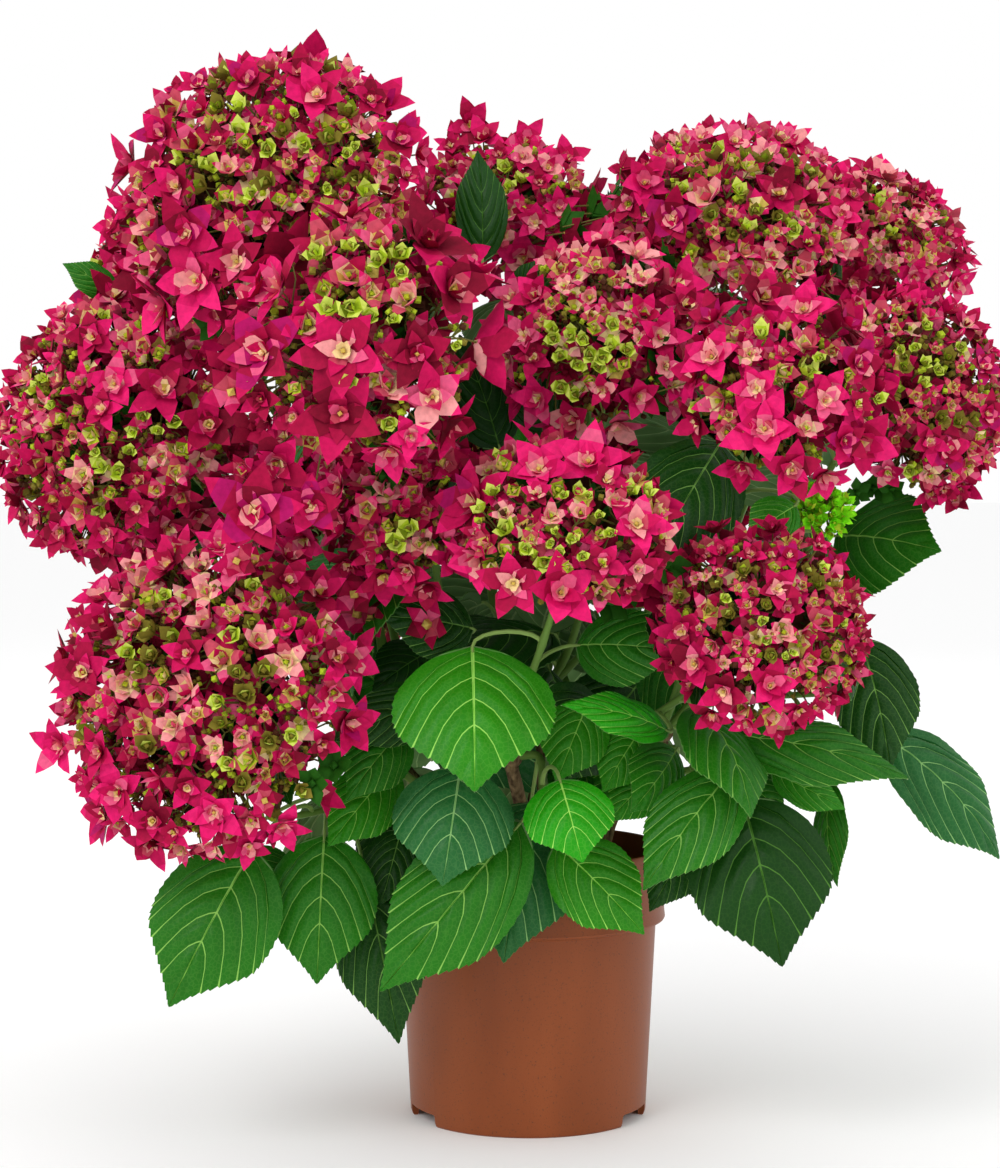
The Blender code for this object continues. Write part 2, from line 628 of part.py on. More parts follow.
def crown_reach(height):
    """How far from the pot's middle line a leaf may reach at this height."""
    return min(CROWN_FOOT_REACH + CROWN_WIDENING * max(height - CROWN_FOOT, 0), CROWN_MOST_REACH)


def blade_choices(stem_point, stem_way, side, chance):
    """The blades that a node could carry on this side of its stem, the likeliest first."""
    outward = Vector((stem_point.x, stem_point.y, 0))
    outward = outward.normalized() if outward.length > 0.02 else side
    length = LEAF_LENGTH * chance.uniform(0.86, 1.10)
    width = length * LEAF_WIDTH * chance.uniform(0.92, 1.08)
    drop = min(max((LEVEL_HEIGHT - stem_point.z) / DROOP_DEPTH, 0.05), 1.15)
    stalk = chance.uniform(*STALK_LENGTHS)
    for size, sag, swing in LEAF_TRIES:
        start = stem_point + (side * 0.9 + stem_way * 0.45) * stalk
        way = (side + outward * swing - UP * (drop + sag)).normalized()
        facing = (outward * (0.35 + drop) + UP).normalized()
        tip = start + way * length * size
        if tip.xy.length < crown_reach(tip.z):
            yield Blade(start, tip, width * size, facing)


def main():
    for item in list(bpy.data.objects):
        bpy.data.objects.remove(item)
    colours = {name: make_material(name, 0.35 if name == "pot" else 0.6) for name in COLOURS}

    space = Space()
    pot = make_pot(colours["pot"])
    mix = make_potting_mix(colours["compost"])
    for item in (pot, mix):
        shape = bmesh.new()
        shape.from_mesh(item.data)
        space.add(shape, item.name)

    ways = {}
    for cane in CANES:
        shape = make_cane(cane, colours["cane"])
        add_object(f"cane_{cane.name}", shape, colours["cane"]).data.shade_smooth()
        space.add(shape, cane.name)
        ways.update(fork_directions(cane))

    for head in HEADS:
        shape = head_shape(head)
        space.add(shape, f"head {head.name}")
        petal = colours["young_petal"] if head.name == "young" else colours["petal"]
        add_object(f"head_{head.name}", shape, petal)

    runs = {}
    for head in HEADS:
        facing = Vector(head.facing).normalized()
        runs[head.name] = shoot_run(head.name, ways[head.name], head_foot(head), facing)
    for shoot in LEAFY_SHOOTS:
        lean = Vector(shoot.lean).normalized()
        runs[shoot.name] = shoot_run(shoot.name, ways[shoot.name], Vector(shoot.tip), lean)
    stems = {}
    for name, run in runs.items():
        stems[name] = tube(run, taper(SHOOT_FOOT_RADIUS, SHOOT_TIP_RADIUS, len(run)), SHOOT_SIDES)
        space.add(stems[name], f"stem {name}")
    pieces = {name: [] for name in runs}

    def grow(blade, name, start):
        """Adds a leaf and its stalk to the shoot where they are clear of all else."""
        shape = leaf(blade, start)
        if space.clashes(leaf(blade)) or space.clashes(shape, f"stem {name}"):
            return False
        pieces[name].append(shape)
        space.add(shape, f"leaf {name}")
        return True

    for blade in FRONT_BLADES:
        base = Vector(blade.base)
        nodes = []
        for name, run in runs.items():
            for point in run[2:-2]:
                climb = max(point.z - base.z, 0)
                nodes.append(((point - base).length + climb * 0.5, name, point))
        nodes.sort(key=lambda node: node[0])
        any(grow(blade, name, point) for _, name, point in nodes[:NODES_TRIED])

    for name, run in runs.items():
        chance = random.Random(name)
        length = sum((b - a).length for a, b in zip(run, run[1:]))
        pairs = max(2, round(length / SHOOT_NODE_SPACING))
        spin = chance.uniform(0, math.pi)
        for pair in range(pairs):
            share = (pair + 0.7) / pairs * SHOOT_STEPS
            step = min(int(share), SHOOT_STEPS - 1)
            point = run[step].lerp(run[step + 1], share - step)
            way = (run[step + 1] - run[step]).normalized()
            across, along = sides_of(way)
            for number, turn in enumerate((0, math.pi)):
                angle = spin + turn + pair * math.pi / 2
                side = across * math.cos(angle) + along * math.sin(angle)
                if side.dot(Vector((point.x, point.y, 0))) < -0.35 * point.length:
                    continue
                blades = list(blade_choices(point, way, side, chance))
                if (name, pair, number) not in PINCHED:
                    any(grow(blade, name, point) for blade in blades)

    for name, stem in stems.items():
        fuse(f"shoot_{name}", stem, pieces[name], colours["leaf"])


main()
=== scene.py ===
"""The looks of a potted hydrangea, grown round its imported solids.

Pot, compost, canes, green shoots with their leaves, and heads of double florets.
Metres, +Z up, front towards -Y.
"""

import json
import math
import random
from collections import namedtuple

import bpy
import numpy as np
from mathutils import Matrix, Vector, noise
from mathutils.bvhtree import BVHTree

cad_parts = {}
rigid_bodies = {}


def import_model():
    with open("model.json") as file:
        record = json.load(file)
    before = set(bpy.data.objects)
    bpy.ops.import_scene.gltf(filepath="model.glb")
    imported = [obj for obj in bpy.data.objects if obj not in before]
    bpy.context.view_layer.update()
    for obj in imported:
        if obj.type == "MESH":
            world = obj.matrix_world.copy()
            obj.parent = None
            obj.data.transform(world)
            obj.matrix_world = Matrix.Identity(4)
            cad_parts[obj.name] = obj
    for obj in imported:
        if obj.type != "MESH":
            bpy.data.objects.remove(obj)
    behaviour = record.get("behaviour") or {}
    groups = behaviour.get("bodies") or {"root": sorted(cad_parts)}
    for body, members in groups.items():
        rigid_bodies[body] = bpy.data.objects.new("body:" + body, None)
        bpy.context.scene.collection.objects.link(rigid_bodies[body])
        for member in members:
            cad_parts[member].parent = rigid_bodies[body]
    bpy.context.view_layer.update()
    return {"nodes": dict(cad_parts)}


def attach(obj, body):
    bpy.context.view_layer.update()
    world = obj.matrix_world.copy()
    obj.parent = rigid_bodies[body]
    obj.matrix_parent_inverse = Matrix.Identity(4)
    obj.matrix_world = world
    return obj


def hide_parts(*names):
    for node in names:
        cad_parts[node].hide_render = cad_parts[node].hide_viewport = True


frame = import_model()


# The studio: a pale seamless floor and one white soft sky, with a broad soft lamp high at the front left
# and a weaker one at the right. The camera looks at the plant's front from two metres, a little downwards.

WHITE = (1, 1, 1, 1)
BLACK = (0, 0, 0, 1)
CAMERA_PLACE = (-0.02, -2.00, 0.49)
CAMERA_DIP = math.radians(3.29)
SENSOR_HEIGHT = 36.0
FOCAL_LENGTH = 87.57
SKY_STRENGTH = 1.0
FLOOR_SIZE = 30.0
FLOOR_SHADE = (250, 250, 250)
PLAIN_GLOSS = 0.25


def colour(red, green, blue):
    """A paint colour from three screen values of 0 to 255, as the shader wants it."""
    return tuple(((value / 255 + 0.055) / 1.055) ** 2.4 for value in (red, green, blue)) + (1.0,)


def deselect():
    bpy.ops.object.select_all(action="DESELECT")


def plain_material(name):
    """A new node material and its shader."""
    made = bpy.data.materials.new(name)
    made.use_nodes = True
    shader = made.node_tree.nodes["Principled BSDF"]
    shader.inputs["Specular IOR Level"].default_value = PLAIN_GLOSS
    return made, shader


deselect()
bpy.ops.object.camera_add(location=CAMERA_PLACE, rotation=(math.pi / 2 - CAMERA_DIP, 0, 0))
camera = bpy.context.object
camera.name = "camera"
camera.data.sensor_fit = "VERTICAL"
camera.data.sensor_height = SENSOR_HEIGHT
camera.data.lens = FOCAL_LENGTH
bpy.context.scene.camera = camera
bpy.context.scene.view_settings.view_transform = "Standard"

for lamp_name, place, size, power, aim in (
    ("key_lamp", (-1.5, -2.2, 2.3), 1.6, 34.0, (0, 0, 0.42)),
    ("fill_lamp", (2.2, -1.6, 1.4), 1.8, 6.0, (0, 0, 0.40)),
    ("back_lamp", (0.6, 2.4, 2.4), 1.8, 12.0, (0, 0, 0.45)),
):
    bpy.ops.object.light_add(type="AREA", location=place)
    lamp = bpy.context.object
    lamp.name = lamp_name
    lamp.data.shape = "DISK"
    lamp.data.size = size
    lamp.data.energy = power
    lamp.rotation_euler = (Vector(aim) - Vector(place)).to_track_quat("-Z", "Y").to_euler()

sky = bpy.data.worlds.new("white_sky")
sky.use_nodes = True
sky.node_tree.nodes["Background"].inputs["Color"].default_value = WHITE
sky.node_tree.nodes["Background"].inputs["Strength"].default_value = SKY_STRENGTH
bpy.context.scene.world = sky

deselect()
bpy.ops.mesh.primitive_plane_add(size=FLOOR_SIZE)
floor = bpy.context.object
floor.name = "floor"
floor_paint, floor_shader = plain_material("pale_floor")
floor_shader.inputs["Base Color"].default_value = colour(*FLOOR_SHADE)
floor_shader.inputs["Roughness"].default_value = 0.9
floor.data.materials.append(floor_paint)


# The pot: a round nursery pot, injection-moulded in reddish-brown plastic. It has a tapering wall, a plain
# band round its rim, and a foot with four drain notches, and it stands on its foot ring and a middle disc.

POT_SIDES = 128
POT_HEIGHT = 0.190
POT_RIM_RADIUS = 0.097
POT_BAND_BOTTOM = 0.140
POT_NECK_RADIUS = 0.0905
POT_FOOT_RADIUS = 0.0830
POT_WALL = 0.0020
POT_DISC_RADIUS = 0.058
POT_CHANNEL_HEIGHT = 0.0095
POT_NOTCH_ANGLES = (65, 116, -65, -116)
POT_NOTCH_WIDTH = 0.040
POT_NOTCH_HEIGHT = 0.0085
POT_NOTCH_DEPTH = 0.014
POT_NOTCH_ROUND = 0.0022
POT_SHADES = ((128, 64, 29), (142, 73, 35))
POT_SPECK_SHADE = (96, 54, 36)
MOULD_ROUND = 0.0006


def all_faces(action="SELECT"):
    bpy.ops.object.mode_set(mode="EDIT")
    bpy.ops.mesh.select_all(action=action)


def back_to_object():
    bpy.ops.object.mode_set(mode="OBJECT")


def turned(name, profile, sides):
    """A solid drawn up from a flat disc: each next ring is the last one extruded, raised and resized."""
    deselect()
    bpy.ops.mesh.primitive_circle_add(vertices=sides, radius=profile[0][0], fill_type="TRIFAN",
                                      location=(0, 0, profile[0][1]))
    made = bpy.context.object
    made.name = name
    bpy.ops.object.transform_apply(location=True)
    all_faces()
    bpy.ops.mesh.select_all(action="DESELECT")
    bpy.ops.mesh.select_non_manifold()
    radius, height = profile[0]
    for next_radius, next_height in profile[1:]:
        bpy.ops.mesh.extrude_edges_move(TRANSFORM_OT_translate={"value": (0, 0, next_height - height)})
        share = next_radius / radius
        bpy.ops.transform.resize(value=(share, share, 1), center_override=(0, 0, next_height))
        radius, height = next_radius, next_height
    bpy.ops.mesh.extrude_edges_move()
    bpy.ops.mesh.merge(type="CENTER")
    all_faces()
    bpy.ops.mesh.normals_make_consistent(inside=False)
    back_to_object()
    return made


def take_up(made):
    """The one object that the next operator acts on."""
    deselect()
    made.select_set(True)
    bpy.context.view_layer.objects.active = made


def soften(made, angle):
    """Smooth shading, with edges sharper than the angle kept crisp."""
    take_up(made)
    bpy.ops.object.shade_smooth_by_angle(angle=math.radians(angle))


def apply_modifiers(made):
    take_up(made)
    for modifier in list(made.modifiers):
        bpy.ops.object.modifier_apply(modifier=modifier.name)


foot_in = POT_FOOT_RADIUS - POT_WALL * 2
lip = POT_RIM_RADIUS
band = POT_BAND_BOTTOM
pot = turned("nursery_pot", (
    (POT_DISC_RADIUS - MOULD_ROUND, 0),
    (POT_DISC_RADIUS, MOULD_ROUND),
    (POT_DISC_RADIUS + 0.0015, POT_CHANNEL_HEIGHT - MOULD_ROUND),
    (POT_DISC_RADIUS + 0.0022, POT_CHANNEL_HEIGHT),
    (foot_in - 0.0010, POT_CHANNEL_HEIGHT),
    (foot_in - 0.0004, POT_CHANNEL_HEIGHT - MOULD_ROUND),
    (foot_in, MOULD_ROUND),
    (foot_in + MOULD_ROUND, 0),
    (POT_FOOT_RADIUS - 0.0012, 0),
    (POT_FOOT_RADIUS - 0.0003, 0.0008),
    (POT_FOOT_RADIUS + 0.0005, 0.003),
    (POT_NECK_RADIUS - 0.0002, band - 0.006),
    (POT_NECK_RADIUS + 0.0004, band - 0.0025),
    (POT_NECK_RADIUS + 0.0018, band - 0.0014),
    (lip - 0.0022, band - 0.0014),
    (lip - 0.0008, band - 0.0008),
    (lip, band + 0.0006),
    (lip - 0.0003, band + 0.0030),
    (lip - 0.0006, band + 0.0060),
    (lip - 0.0002, POT_HEIGHT - 0.0040),
    (lip, POT_HEIGHT - 0.0016),
    (lip - 0.0004, POT_HEIGHT - 0.0005),
    (lip - 0.0012, POT_HEIGHT),
    (lip - POT_WALL, POT_HEIGHT - 0.0008),
    (lip - POT_WALL - 0.0005, band + 0.002),
    (POT_NECK_RADIUS - POT_WALL, band - 0.002),
    (foot_in + 0.001, POT_CHANNEL_HEIGHT + POT_WALL),
    (POT_DISC_RADIUS + 0.003, POT_CHANNEL_HEIGHT + POT_WALL),
    (POT_DISC_RADIUS - 0.002, POT_WALL),
), POT_SIDES)

for number, degrees in enumerate(POT_NOTCH_ANGLES):
    angle = math.radians(degrees)
    place = (POT_FOOT_RADIUS * math.sin(angle), -POT_FOOT_RADIUS * math.cos(angle), 0)
    deselect()
    bpy.ops.mesh.primitive_cube_add(size=1, location=place, rotation=(0, 0, angle),
                                    scale=(POT_NOTCH_WIDTH, POT_NOTCH_DEPTH, POT_NOTCH_HEIGHT * 2))
    cutter = bpy.context.object
    cutter.name = f"notch_cutter_{number}"
    bpy.ops.object.modifier_add(type="BEVEL")
    cutter.modifiers[-1].width = POT_NOTCH_ROUND
    cutter.modifiers[-1].segments = 3
    notch = pot.modifiers.new(f"notch_{number}", "BOOLEAN")
    notch.operation = "DIFFERENCE"
    notch.solver = "EXACT"
    notch.object = cutter
apply_modifiers(pot)
for number in range(len(POT_NOTCH_ANGLES)):
    bpy.data.objects.remove(bpy.data.objects[f"notch_cutter_{number}"])
soften(pot, 28)


def node(tree, kind, **settings):
    """A shader node with its own settings and its inputs set by name, an input's blanks written as lines."""
    made = tree.nodes.new("ShaderNode" + kind)
    for name, value in settings.items():
        if hasattr(made, name):
            setattr(made, name, value)
        else:
            made.inputs[name.replace("_", " ")].default_value = value
    return made


def ramp(tree, low, low_shade, high, high_shade):
    """A run of colour from one shade to another."""
    made = node(tree, "ValToRGB")
    for stop, place, shade in zip(made.color_ramp.elements, (low, high), (low_shade, high_shade)):
        stop.position = place
        stop.color = shade
    return made


def wire(tree, *links):
    """Links, each from a node's output to another node's input."""
    for source, out, target, into in links:
        tree.links.new(source.outputs[out], target.inputs[into])


pot_plastic, pot_shader = plain_material("moulded_brown_plastic")
tree = pot_plastic.node_tree
where = node(tree, "TexCoord")
flow = node(tree, "Mapping", Scale=(14, 14, 3))
marks = node(tree, "TexNoise", Scale=1.6, Detail=6)
tint = ramp(tree, 0.32, colour(*POT_SHADES[0]), 0.72, colour(*POT_SHADES[1]))
specks = node(tree, "TexNoise", Scale=900, Detail=2)
speck_mask = ramp(tree, 0.62, BLACK, 0.72, WHITE)
speckled = node(tree, "Mix", data_type="RGBA", B=colour(*POT_SPECK_SHADE))
grain = node(tree, "Bump", Strength=0.10, Distance=0.0006)
dull = node(tree, "MapRange", To_Min=0.34, To_Max=0.50)
wire(
    tree,
    (where, "Object", flow, "Vector"),
    (flow, "Vector", marks, "Vector"),
    (where, "Object", specks, "Vector"),
    (marks, "Fac", tint, "Fac"),
    (specks, "Fac", speck_mask, "Fac"),
    (speck_mask, "Color", speckled, "Factor"),
    (tint, "Color", speckled, "A"),
    (speckled, "Result", pot_shader, "Base Color"),
    (marks, "Fac", dull, "Value"),
    (dull, "Result", pot_shader, "Roughness"),
    (specks, "Fac", grain, "Height"),
    (grain, "Normal", pot_shader, "Normal"),
)
pot.data.materials.append(pot_plastic)
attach(pot, "root")
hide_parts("pot")


# The compost: dark, moist and crumbly, filling the pot to a finger's breadth under its rim. Its top is
# uneven, with loose crumbs and a few short fibres of bark lying on it.

SOIL_TOP = 0.173
SOIL_RADIUS = 0.0938
SOIL_RINGS = 30
SOIL_SIDES = 96
SOIL_SINK = 0.0012
MOUND_SCALE = 22
MOUND_HEIGHT = 0.0028
LUMP_SCALE = 160
LUMP_HEIGHT = 0.0016
CRUMB_SHAPES = 6
CRUMBS = 900
FIBRES = 120
CRUMB_SIZES = (0.0006, 0.0024)
CRUMB_UNEVEN = (0.6, 1.25)
CRUMB_FLAT = (1, 0.8, 0.6)
CRUMB_REACH = 0.985
CRUMB_RISE = 0.25
CRUMB_TIP = 0.4
FIBRE_LENGTHS = (0.004, 0.010)
FIBRE_WIDTH = 0.0006
FIBRE_THICKNESS = 0.0005
BARK_EVERY = 5
COMPOSTS = {
    "moist_compost": ((26, 17, 12), (72, 48, 32)),
    "bark_bits": ((58, 38, 25), (118, 84, 56)),
}

Shape = namedtuple("Shape", "points corners sizes roles")


def shape_of(made):
    """A modelled object read into arrays, and the object removed. A face's role is its material number."""
    mesh = made.data
    points = np.empty(len(mesh.vertices) * 3)
    mesh.vertices.foreach_get("co", points)
    corners = np.empty(len(mesh.loops), dtype=np.int64)
    mesh.loops.foreach_get("vertex_index", corners)
    sizes = np.empty(len(mesh.polygons), dtype=np.int64)
    mesh.polygons.foreach_get("loop_total", sizes)
    roles = np.empty(len(mesh.polygons), dtype=np.int64)
    mesh.polygons.foreach_get("material_index", roles)
    bpy.data.objects.remove(made)
    return Shape(points.reshape(-1, 3), corners, sizes, roles)


def merged(shapes):
    """One shape of many."""
    starts = np.cumsum([0] + [len(shape.points) for shape in shapes])
    points = np.concatenate([shape.points for shape in shapes])
    corners = np.concatenate([shape.corners + start for shape, start in zip(shapes, starts)])
    sizes = np.concatenate([shape.sizes for shape in shapes])
    roles = np.concatenate([shape.roles for shape in shapes])
    return Shape(points, corners, sizes, roles)


def joined(name, shapes, materials, angle=40):
    """One object made of all the shapes, with a material for each role."""
    whole = merged(shapes)
    mesh = bpy.data.meshes.new(name)
    mesh.vertices.add(len(whole.points))
    mesh.vertices.foreach_set("co", whole.points.ravel())
    mesh.loops.add(len(whole.corners))
    mesh.loops.foreach_set("vertex_index", whole.corners)
    mesh.polygons.add(len(whole.sizes))
    mesh.polygons.foreach_set("loop_start", np.cumsum(whole.sizes) - whole.sizes)
    for material in materials:
        mesh.materials.append(material)
    mesh.polygons.foreach_set("material_index", whole.roles)
    mesh.update(calc_edges=True)
    mesh.shade_smooth()
    mesh.set_sharp_from_angle(angle=math.radians(angle))
    made = bpy.data.objects.new(name, mesh)
    bpy.context.scene.collection.objects.link(made)
    return made


def placed(shape, matrix, table=None):
    """A copy of a shape at its place, its roles dealt new numbers by the table."""
    turn = np.array(matrix.to_3x3())
    points = shape.points @ turn.T + np.array(matrix.translation)
    roles = shape.roles if table is None else np.array(table)[shape.roles]
    return Shape(points, shape.corners, shape.sizes, roles)


soil_chance = random.Random("compost")


def soil_height(x, y):
    """How far the compost's surface lies above its level, from broad mounds down to crumbs."""
    broad = noise.noise(Vector((x * MOUND_SCALE, y * MOUND_SCALE, 1.3))) * MOUND_HEIGHT
    fine = noise.fractal(Vector((x * LUMP_SCALE, y * LUMP_SCALE, 4.1)), 1.0, 2.0, 4) * LUMP_HEIGHT
    return broad + fine - SOIL_SINK


soil_profile = [
    (POT_DISC_RADIUS - 0.004, POT_WALL + 0.0003),
    (POT_DISC_RADIUS + 0.001, POT_CHANNEL_HEIGHT + POT_WALL + 0.0006),
    (foot_in + 0.0004, POT_CHANNEL_HEIGHT + POT_WALL + 0.0006),
    (POT_NECK_RADIUS - POT_WALL - 0.0004, band - 0.0015),
    (SOIL_RADIUS, band + 0.004),
    (SOIL_RADIUS, SOIL_TOP - 0.003),
]
soil_profile += [(SOIL_RADIUS * (1 - ring / SOIL_RINGS), SOIL_TOP) for ring in range(SOIL_RINGS)]
soil = turned("compost", soil_profile, SOIL_SIDES)
for vertex in soil.data.vertices:
    if vertex.co.z > SOIL_TOP - 0.001:
        vertex.co.z += soil_height(vertex.co.x, vertex.co.y)
soften(soil, 60)

crumbs = []
for _ in range(CRUMB_SHAPES):
    deselect()
    bpy.ops.mesh.primitive_ico_sphere_add(subdivisions=1, radius=1)
    for vertex in bpy.context.object.data.vertices:
        vertex.co *= soil_chance.uniform(*CRUMB_UNEVEN)
    crumbs.append(shape_of(bpy.context.object))
bits = []
for number in range(CRUMBS + FIBRES):
    reach = SOIL_RADIUS * CRUMB_REACH * math.sqrt(soil_chance.random())
    turn = soil_chance.uniform(0, 2 * math.pi)
    x, y = reach * math.cos(turn), reach * math.sin(turn)
    size = soil_chance.uniform(*CRUMB_SIZES)
    scale = Vector([size * flat for flat in CRUMB_FLAT])
    if number >= CRUMBS:
        scale = Vector((soil_chance.uniform(*FIBRE_LENGTHS), FIBRE_WIDTH, FIBRE_THICKNESS))
    spin = Matrix.Rotation(soil_chance.uniform(0, 2 * math.pi), 4, "Z")
    tip = Matrix.Rotation(soil_chance.uniform(-CRUMB_TIP, CRUMB_TIP), 4, "Y")
    height = SOIL_TOP + soil_height(x, y) + size * CRUMB_RISE
    matrix = Matrix.Translation((x, y, height)) @ spin @ tip @ Matrix.Diagonal((*scale, 1))
    bits.append(placed(crumbs[number % len(crumbs)], matrix, [1 if number % BARK_EVERY == 0 else 0]))

composts = []
for name, (dark, light) in COMPOSTS.items():
    made, shader = plain_material(name)
    shader.inputs["Roughness"].default_value = 0.92
    tree = made.node_tree
    where = node(tree, "TexCoord")
    crumbly = node(tree, "TexNoise", Scale=260, Detail=8, Roughness=0.7)
    tint = ramp(tree, 0.38, colour(*dark), 0.70, colour(*light))
    rough = node(tree, "Bump", Strength=0.8, Distance=0.001)
    wire(
        tree,
        (where, "Object", crumbly, "Vector"),
        (crumbly, "Fac", tint, "Fac"),
        (tint, "Color", shader, "Base Color"),
        (crumbly, "Fac", rough, "Height"),
        (rough, "Normal", shader, "Normal"),
    )
    composts.append(made)
soil.data.materials.append(composts[0])
soil_bits = joined("compost_crumbs", bits, composts)
for piece in (soil, soil_bits):
    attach(piece, "root")
    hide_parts("potting_mix")


# The canes: the old brown wood that was cut back last winter. Each rises from a flared foot in the compost
# to a swollen knob, with shallow fissures in its bark and a ring of scars where leaf pairs stood.

GAP = 0.0003
UP = Vector((0, 0, 1))
CANE_SIDES = 20
CANE_STEPS = 46
CANE_RADIUS = 0.0050
CANE_FLARE = 0.0085
CANE_TAPER = (1.1, 0.24)
CANE_ROOT = 0.004
FLARE_HEIGHT = 0.007
KNOB_RADIUS = 0.0075
KNOB_STEPS = 12
KNOB_NECK = 0.95
SCAR_SPACING = 0.034
SCAR_WIDTH = 0.0012
SCAR_RISE = 0.0005
FISSURE = 0.00034
BARK_SHADES = ((74, 56, 38), (156, 130, 92))

Cane = namedtuple("Cane", "name foot fork")

CANES = (
    Cane("front_left", (-0.030, -0.034), (-0.070, -0.058, 0.232)),
    Cane("left", (-0.052, 0.002), (-0.098, -0.008, 0.265)),
    Cane("front", (0.000, -0.048), (-0.012, -0.080, 0.262)),
    Cane("front_right", (0.040, -0.034), (0.074, -0.062, 0.245)),
    Cane("centre", (0.004, 0.004), (0.010, 0.006, 0.300)),
    Cane("right", (0.052, 0.006), (0.096, 0.018, 0.268)),
    Cane("back_left", (-0.034, 0.036), (-0.066, 0.072, 0.255)),
    Cane("back_right", (0.030, 0.042), (0.052, 0.086, 0.262)),
)


def sides_of(axis, towards=UP):
    """Two unit vectors square to the axis: one across, one as near to the given direction as can be."""
    across = axis.cross(towards)
    if across.length < 1e-4:
        across = axis.cross(Vector((1, 0, 0)))
    across.normalize()
    return across, across.cross(axis).normalized()


def bezier(start, start_handle, end_handle, end, steps):
    """Points evenly spread by parameter along one cubic curve."""
    points = []
    for step in range(steps + 1):
        t = step / steps
        near = start * (1 - t) ** 3 + start_handle * (3 * t * (1 - t) ** 2)
        points.append(near + end_handle * (3 * t * t * (1 - t)) + end * t**3)
    return points


def limb(points, radii, sides, role=0, relief=None):
    """A closed round limb along the points. The relief says how far the bark stands out, by step and turn."""
    rings = []
    towards = Vector((0.31, 0.17, 0.93))
    for i, (point, radius) in enumerate(zip(points, radii)):
        before = points[max(i - 1, 0)]
        after = points[min(i + 1, len(points) - 1)]
        across, towards = sides_of((after - before).normalized(), towards)
        for side in range(sides):
            turn = 2 * math.pi * side / sides
            out = radius + (relief(point, turn, radius) if relief else 0)
            rings.append(point + (across * math.cos(turn) + towards * math.sin(turn)) * out)
    faces = []
    for i in range(len(points) - 1):
        for side in range(sides):
            after = (side + 1) % sides
            low, high = i * sides, (i + 1) * sides
            faces.append((low + after, low + side, high + side, high + after))
    corners = np.array(faces).ravel()
    last = (len(points) - 1) * sides
    ends = list(range(sides)) + list(range(last + sides - 1, last - 1, -1))
    corners = np.concatenate([corners, np.array(ends)])
    sizes = np.array([4] * len(faces) + [sides, sides])
    return Shape(np.array(rings), corners, sizes, np.full(len(sizes), role))


def bark(point, turn, radius):
    """Long shallow fissures, and a raised scar ring at each old leaf pair."""
    ridge = noise.noise(Vector((math.cos(turn) * 2.6, math.sin(turn) * 2.6, point.z * 55)))
    scar = math.exp(-(((point.z / SCAR_SPACING) % 1 - 0.5) * SCAR_SPACING / SCAR_WIDTH) ** 2)
    return FISSURE * ridge * 2 + scar * SCAR_RISE * (radius / CANE_RADIUS)


def cane_limb(cane):
    """One cane: its flared foot, its slim length and its round knob."""
    foot = Vector((*cane.foot, SOIL_TOP + GAP))
    fork = Vector(cane.fork)
    rise = fork.z - foot.z
    top = fork - UP * KNOB_RADIUS * KNOB_NECK
    run = bezier(foot, foot + UP * rise * 0.45, fork - (fork - foot) * 0.3, top, CANE_STEPS)
    radii = []
    for step in range(CANE_STEPS + 1):
        share = step / CANE_STEPS
        flare = (CANE_FLARE - CANE_RADIUS) * math.exp(-share * rise / FLARE_HEIGHT)
        radii.append(CANE_RADIUS * (CANE_TAPER[0] - CANE_TAPER[1] * share) + flare)
    run.insert(0, foot - UP * CANE_ROOT)
    radii.insert(0, CANE_FLARE * 1.05)
    for step in range(1, KNOB_STEPS):
        share = math.cos(math.pi * (0.10 + 0.88 * step / KNOB_STEPS))
        run.append(fork - UP * KNOB_RADIUS * share)
        radii.append(KNOB_RADIUS * math.sqrt(1 - share * share) * 0.99)
    return limb(run, radii, CANE_SIDES, relief=bark)


bark_wood, bark_shader = plain_material("grey_brown_bark")
bark_shader.inputs["Roughness"].default_value = 0.85
tree = bark_wood.node_tree
where = node(tree, "TexCoord")
grain_run = node(tree, "Mapping", Scale=(320, 320, 60))
streaks = node(tree, "TexNoise", Scale=1.0, Detail=8)
tint = ramp(tree, 0.35, colour(*BARK_SHADES[0]), 0.68, colour(*BARK_SHADES[1]))
relief = node(tree, "Bump", Strength=0.6, Distance=0.0006)
wire(
    tree,
    (where, "Object", grain_run, "Vector"),
    (grain_run, "Vector", streaks, "Vector"),
    (streaks, "Fac", tint, "Fac"),
    (tint, "Color", bark_shader, "Base Color"),
    (streaks, "Fac", relief, "Height"),
    (relief, "Normal", bark_shader, "Normal"),
)

canes = joined("old_canes", [cane_limb(cane) for cane in CANES], [bark_wood], 50)
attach(canes, "root")
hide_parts(*(f"cane_{cane.name}" for cane in CANES))


# The green shoots: this year's growth, one from a cane's knob to each flower head, and a few short ones that
# carry only leaves. They are round, smooth and pale green, a little swollen where each pair of leaves sits.

SHOOT_SIDES = 10
SHOOT_FINE_STEPS = 4
SHOOT_STEPS = 7
SHOOT_END = 0.008
SHOOT_FOOT_RADIUS = 0.0030
SHOOT_TIP_RADIUS = 0.0020
SHOOT_NODE_SPACING = 0.062
FIRST_NODE = 0.7
NODE_SWELL = 0.28
FORK_SPREAD = math.radians(66)
HEAD_CLIMB = 0.75
SKIRT_CLIMB = 0.15
SKIRT_TOP = 0.30
HEAD_DEPTH = 0.45

Head = namedtuple("Head", "name cane centre facing radius height")
Leafy = namedtuple("Leafy", "name cane tip lean")

